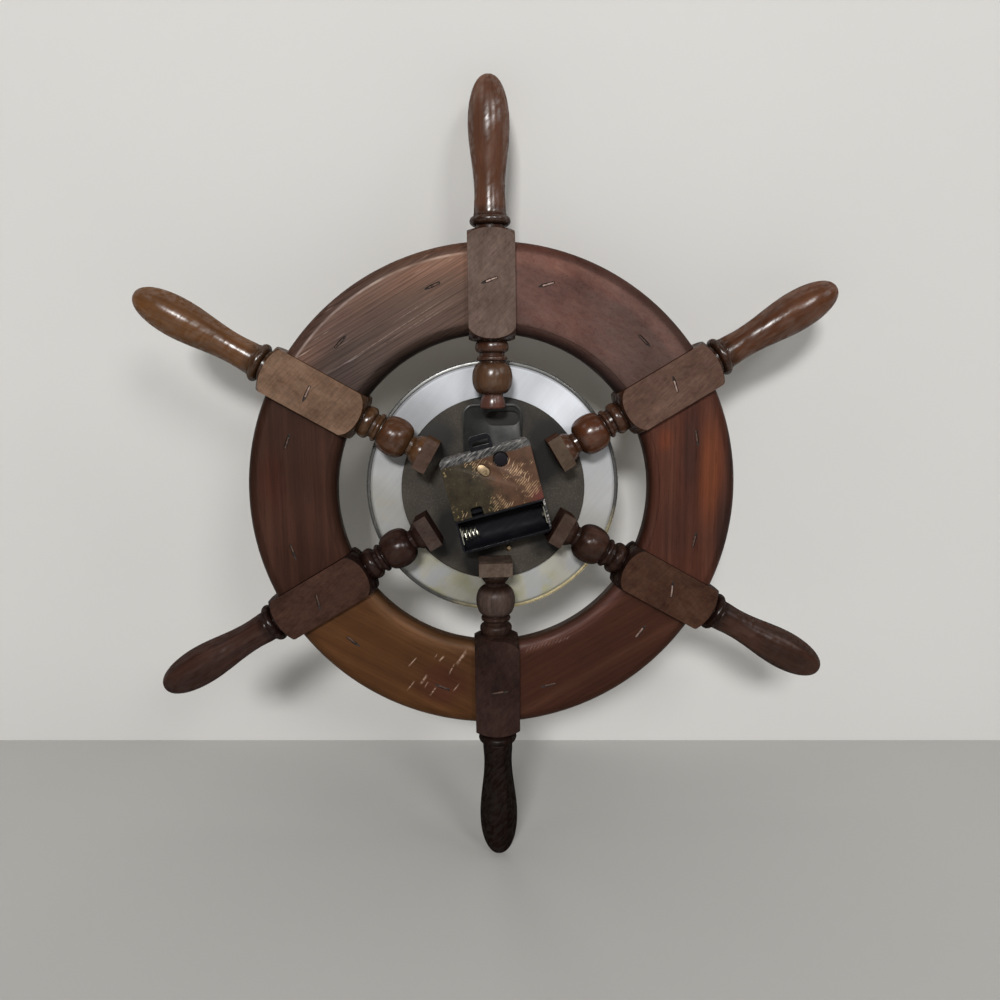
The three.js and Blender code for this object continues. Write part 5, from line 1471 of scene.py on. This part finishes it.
# painted glints on the edges of the black case: grey slanted marks
def scuffMaterial():
    material, tree, shader = startMaterial("case edge with painted glints")
    slanted = objectSpace(tree, (0, math.radians(52), 0), (1, 1, 0.16))
    marks = ramp(tree, noise(tree, slanted, 1200, 3, 0.5), [(0.46, 0.0), (0.60, 1.0)])
    flat = objectSpace(tree, (0, -caseTurn, 0))
    patch = ramp(tree, nearFoil(tree, flat, "glints"), [(0.16, 1.0), (0.34, 0.0)])
    upper = ramp(tree, times(tree, sides(tree, flat)["Z"], 20.0), [(0.45, 0.0), (0.5, 1.0)])
    patch = calculate(tree, "MAXIMUM", patch, upper)
    color = blendColors(tree, times(tree, marks, patch), (0.010, 0.010, 0.012), (0.40, 0.38, 0.36))
    finish(tree, shader, color, 0.4, bump(tree, marks, 0.3, 0.1))
    return material


# where the case gets painted glints, in its own upright frame: on its top from one height, behind its bail
# from another, and past a depth along its lower edge and both sides
caseGlints = {"top": 22, "bail": 33, "depth": 5.2, "lowerEdge": -29, "side": 26}


def scuffCase(piece):
    c = caseGlints
    piece.data.materials.append(scuffMaterial())
    up = Vector((math.sin(caseTurn), 0, math.cos(caseTurn)))
    aside = Vector((math.cos(caseTurn), 0, -math.sin(caseTurn)))

    def scuffed(spot, normal):
        height, deep = up.dot(spot), spot.y - axisDepth
        onTop = normal.dot(up) > 0.3 and height > c["top"]
        onBail = height > c["bail"] and deep > 0
        onEdge = deep > c["depth"] and (height < c["lowerEdge"] or abs(aside.dot(spot)) > c["side"])
        return onTop or onBail or onEdge

    paintFaces(piece, 1, scuffed)


# node, name of the piece, width of the broken edges, material, slot and body
for node, name, width, look, slot, body in (
    ("movement_case", "case_box", 0.35, plastics["black case plastic"], "case_plastic", "clock"),
    ("back_cover", "cover_plate", 0.2, foilMaterial(), "cover_foil", "clock"),
    ("cover_clip", "clip_plate", 0.1, metals["clip brass"], "clip_brass", "clock"),
    ("set_knob", "knob_cap", 0.15, plastics["grey knob plastic"], "knob_plastic", "set_knob"),
    ("hanger_bracket", "bracket_plate", 0.25, metals["blackened bracket steel"], "bracket_steel", "clock"),
):
    piece = edgeBroken(node, name, width, 35, 2)
    paint(piece, look)
    if node == "movement_case":
        scuffCase(piece)
    place(piece, body, slot, node)

# a brass tack pressed into the hub board under the case
tack = {"place": (-8.6, -36.6), "radius": 2.0, "height": 1.0, "steps": 24}


def makeTack():
    radius, height = tack["radius"], tack["height"]
    dome = turned([(0, height), (radius * 0.5, height * 0.86), (radius * 0.85, height * 0.45),
                   (radius, 0), (0, 0)], tack["steps"])
    moved(dome, tack["place"][0], axisDepth + hub["back"], tack["place"][1])
    cleanUp(dome)
    smooth(dome, 40)
    paint(named(dome, "brass_tack"), metals["clip brass"])
    place(dome, "clock", "clip_brass")


makeTack()

# nodes that stay as they are, by their material
kept = {
    metals["contact metal"]: ("battery_spring", "battery_plate"),
    metals["shaft brass"]: ("centre_wheel", "cannon_pinion"),
    metals["rotor magnet"]: ("rotor",),
    metals["stator steel"]: ("stator", "quartz_crystal"),
    metals["coil copper"]: ("coil",),
    metals["screw steel"]: tuple(f"hub_screw_{hour}" for hour in (2, 4, 6, 8, 10)),
    plastics["green board"]: ("circuit_board",),
    plastics["black case plastic"]: ("train_bridge",),
    plastics["white train plastic"]: ("second_wheel", "fifth_wheel", "third_wheel", "minute_wheel",
                                      "hour_wheel", "setting_wheel"),
}
for material, names in kept.items():
    for name in names:
        for slot in nodes[name].material_slots:
            slot.material = material
print("movement ready")

# staples over the joints of the wood, in slots cut into it

staple = {"crown": 6.6, "wire": 0.9, "deep": 0.6, "recess": 0.3, "leg": 5.0, "legWidth": 1.0,
          "slotExtra": 0.35, "slotDepth": 1.4, "dentLength": 5.2, "dentWidth": 1.05, "dentDepth": 0.8,
          "rimDistance": 121, "blockDistance": 119, "jointTurn": 14.8, "reach": 7}
# tilt of the crown at either joint of a rim segment, and on a spoke's block, by the hour
rimTilts = {1: (8, 0), 3: (-6, 4), 5: (5, -8), 7: (-4, 7), 9: (3, -5), 11: (0, 30)}
blockTilts = {12: 20, 2: 3, 4: -18, 6: 8, 8: 24, 10: -12}
rubbedJoints = ((11, 14.8), (7, 14.8))  # where the wire is rubbed bright
rubbedBlocks = (12, 2, 8, 10)


def stapleSpots():
    blockBack = axisDepth + spoke["blockWidth"] / 2
    rimBack = axisDepth + rim["thickness"] / 2
    spots = []
    for hour, tilts in rimTilts.items():
        for turn, tilt in zip((-staple["jointTurn"], staple["jointTurn"]), tilts):
            spots.append({"wood": f"wooden_rim_{hour}", "hour": hour, "distance": staple["rimDistance"],
                          "turn": turn, "tilt": tilt, "surface": rimBack,
                          "shift": 1.5 if tilt > 0 else -1.5, "bright": (hour, turn) in rubbedJoints})
    for hour, tilt in blockTilts.items():
        spots.append({"wood": f"turned_spoke_{hour}", "hour": hour, "distance": staple["blockDistance"],
                      "turn": 0, "tilt": tilt, "surface": blockBack, "shift": 1.8,
                      "bright": hour in rubbedBlocks})
    return spots


# painted shade for the slots and the dents beside the staples
def dentMaterial():
    material, tree, shader = startMaterial("dented wood in painted shade")
    cloud = noise(tree, objectSpace(tree), 600, 4, 0.6)
    color = ramp(tree, cloud, [(0.35, (0.006, 0.004, 0.003)), (0.7, (0.030, 0.018, 0.013))])
    finish(tree, shader, color, 0.8, bump(tree, cloud, 0.5, 0.2))
    return material


def makeWire():
    half, wire, recess, leg = staple["crown"] / 2, staple["wire"] / 2, staple["recess"], staple["legWidth"]
    master = addBlock((-half, -staple["deep"] - recess, -wire), (half, -recess, wire))
    for left in (-half, half - leg):
        prong = addBlock((left, -staple["leg"], -wire), (left + leg, -recess - staple["deep"] / 2, wire))
        combined(master, prong, "UNION")
    softened(master, 0.3, 40, 3)
    smooth(master, 40)
    return master


# the tool for the slot that a staple sits in
def makeSlotTool():
    half = staple["crown"] / 2 + staple["slotExtra"]
    wide = staple["wire"] / 2 + staple["slotExtra"]
    tool = addBlock((-half, -staple["slotDepth"], -wide), (half, 1, wide))
    return softened(tool, 0.6, 60, 2)


# the tool for the dent that the hammer left beside it
def makeDentTool():
    deselectAll()
    bpy.ops.mesh.primitive_uv_sphere_add(segments=24, ring_count=12, radius=mm, location=(0, 0, 0))
    tool = bpy.context.object
    tool.scale = (staple["dentLength"], staple["dentDepth"] * 2, staple["dentWidth"])
    applyPlace(tool)
    return moved(tool, 0, staple["dentDepth"], 0)


def makeStaples():
    wire, slotTool, dentTool = makeWire(), makeSlotTool(), makeDentTool()
    slotShade = dentMaterial()
    spots = stapleSpots()
    for number, spot in enumerate(spots, 1):
        piece = copied(wire, f"staple_{number}")
        slot = copied(slotTool, "slot")
        bowl = moved(copied(dentTool, "bowl"), spot["shift"], 0, 0)
        angle = spot["hour"] * hourAngle + math.radians(spot["turn"])
        for item in (piece, slot, bowl):
            turnedTo(item, math.radians(spot["tilt"]))
            moved(item, 0, spot["surface"], spot["distance"])
            turnedTo(item, angle)
        host = bpy.data.objects[spot["wood"]]
        count = len(host.data.materials)
        host.data.materials.append(slotShade)
        for tool in (bowl, slot):
            combined(host, tool, "DIFFERENCE")
        center = Vector((math.sin(angle), 0, math.cos(angle))) * spot["distance"]
        # the faces of the slot and the dent take the painted shade
        paintFaces(host, count, lambda face, normal: -1.5 < face.y - spot["surface"] < -0.02
                   and math.hypot(face.x - center.x, face.z - center.z) < staple["reach"])
        paint(piece, metals["rubbed staple wire" if spot["bright"] else "rusty staple steel"])
        place(piece, "clock", "screw_steel")
    for tool in (wire, slotTool, dentTool):
        bpy.data.objects.remove(tool)
    for wood in sorted({spot["wood"] for spot in spots}):
        evened(smooth(bpy.data.objects[wood], 30))


makeStaples()
print("staples ready")
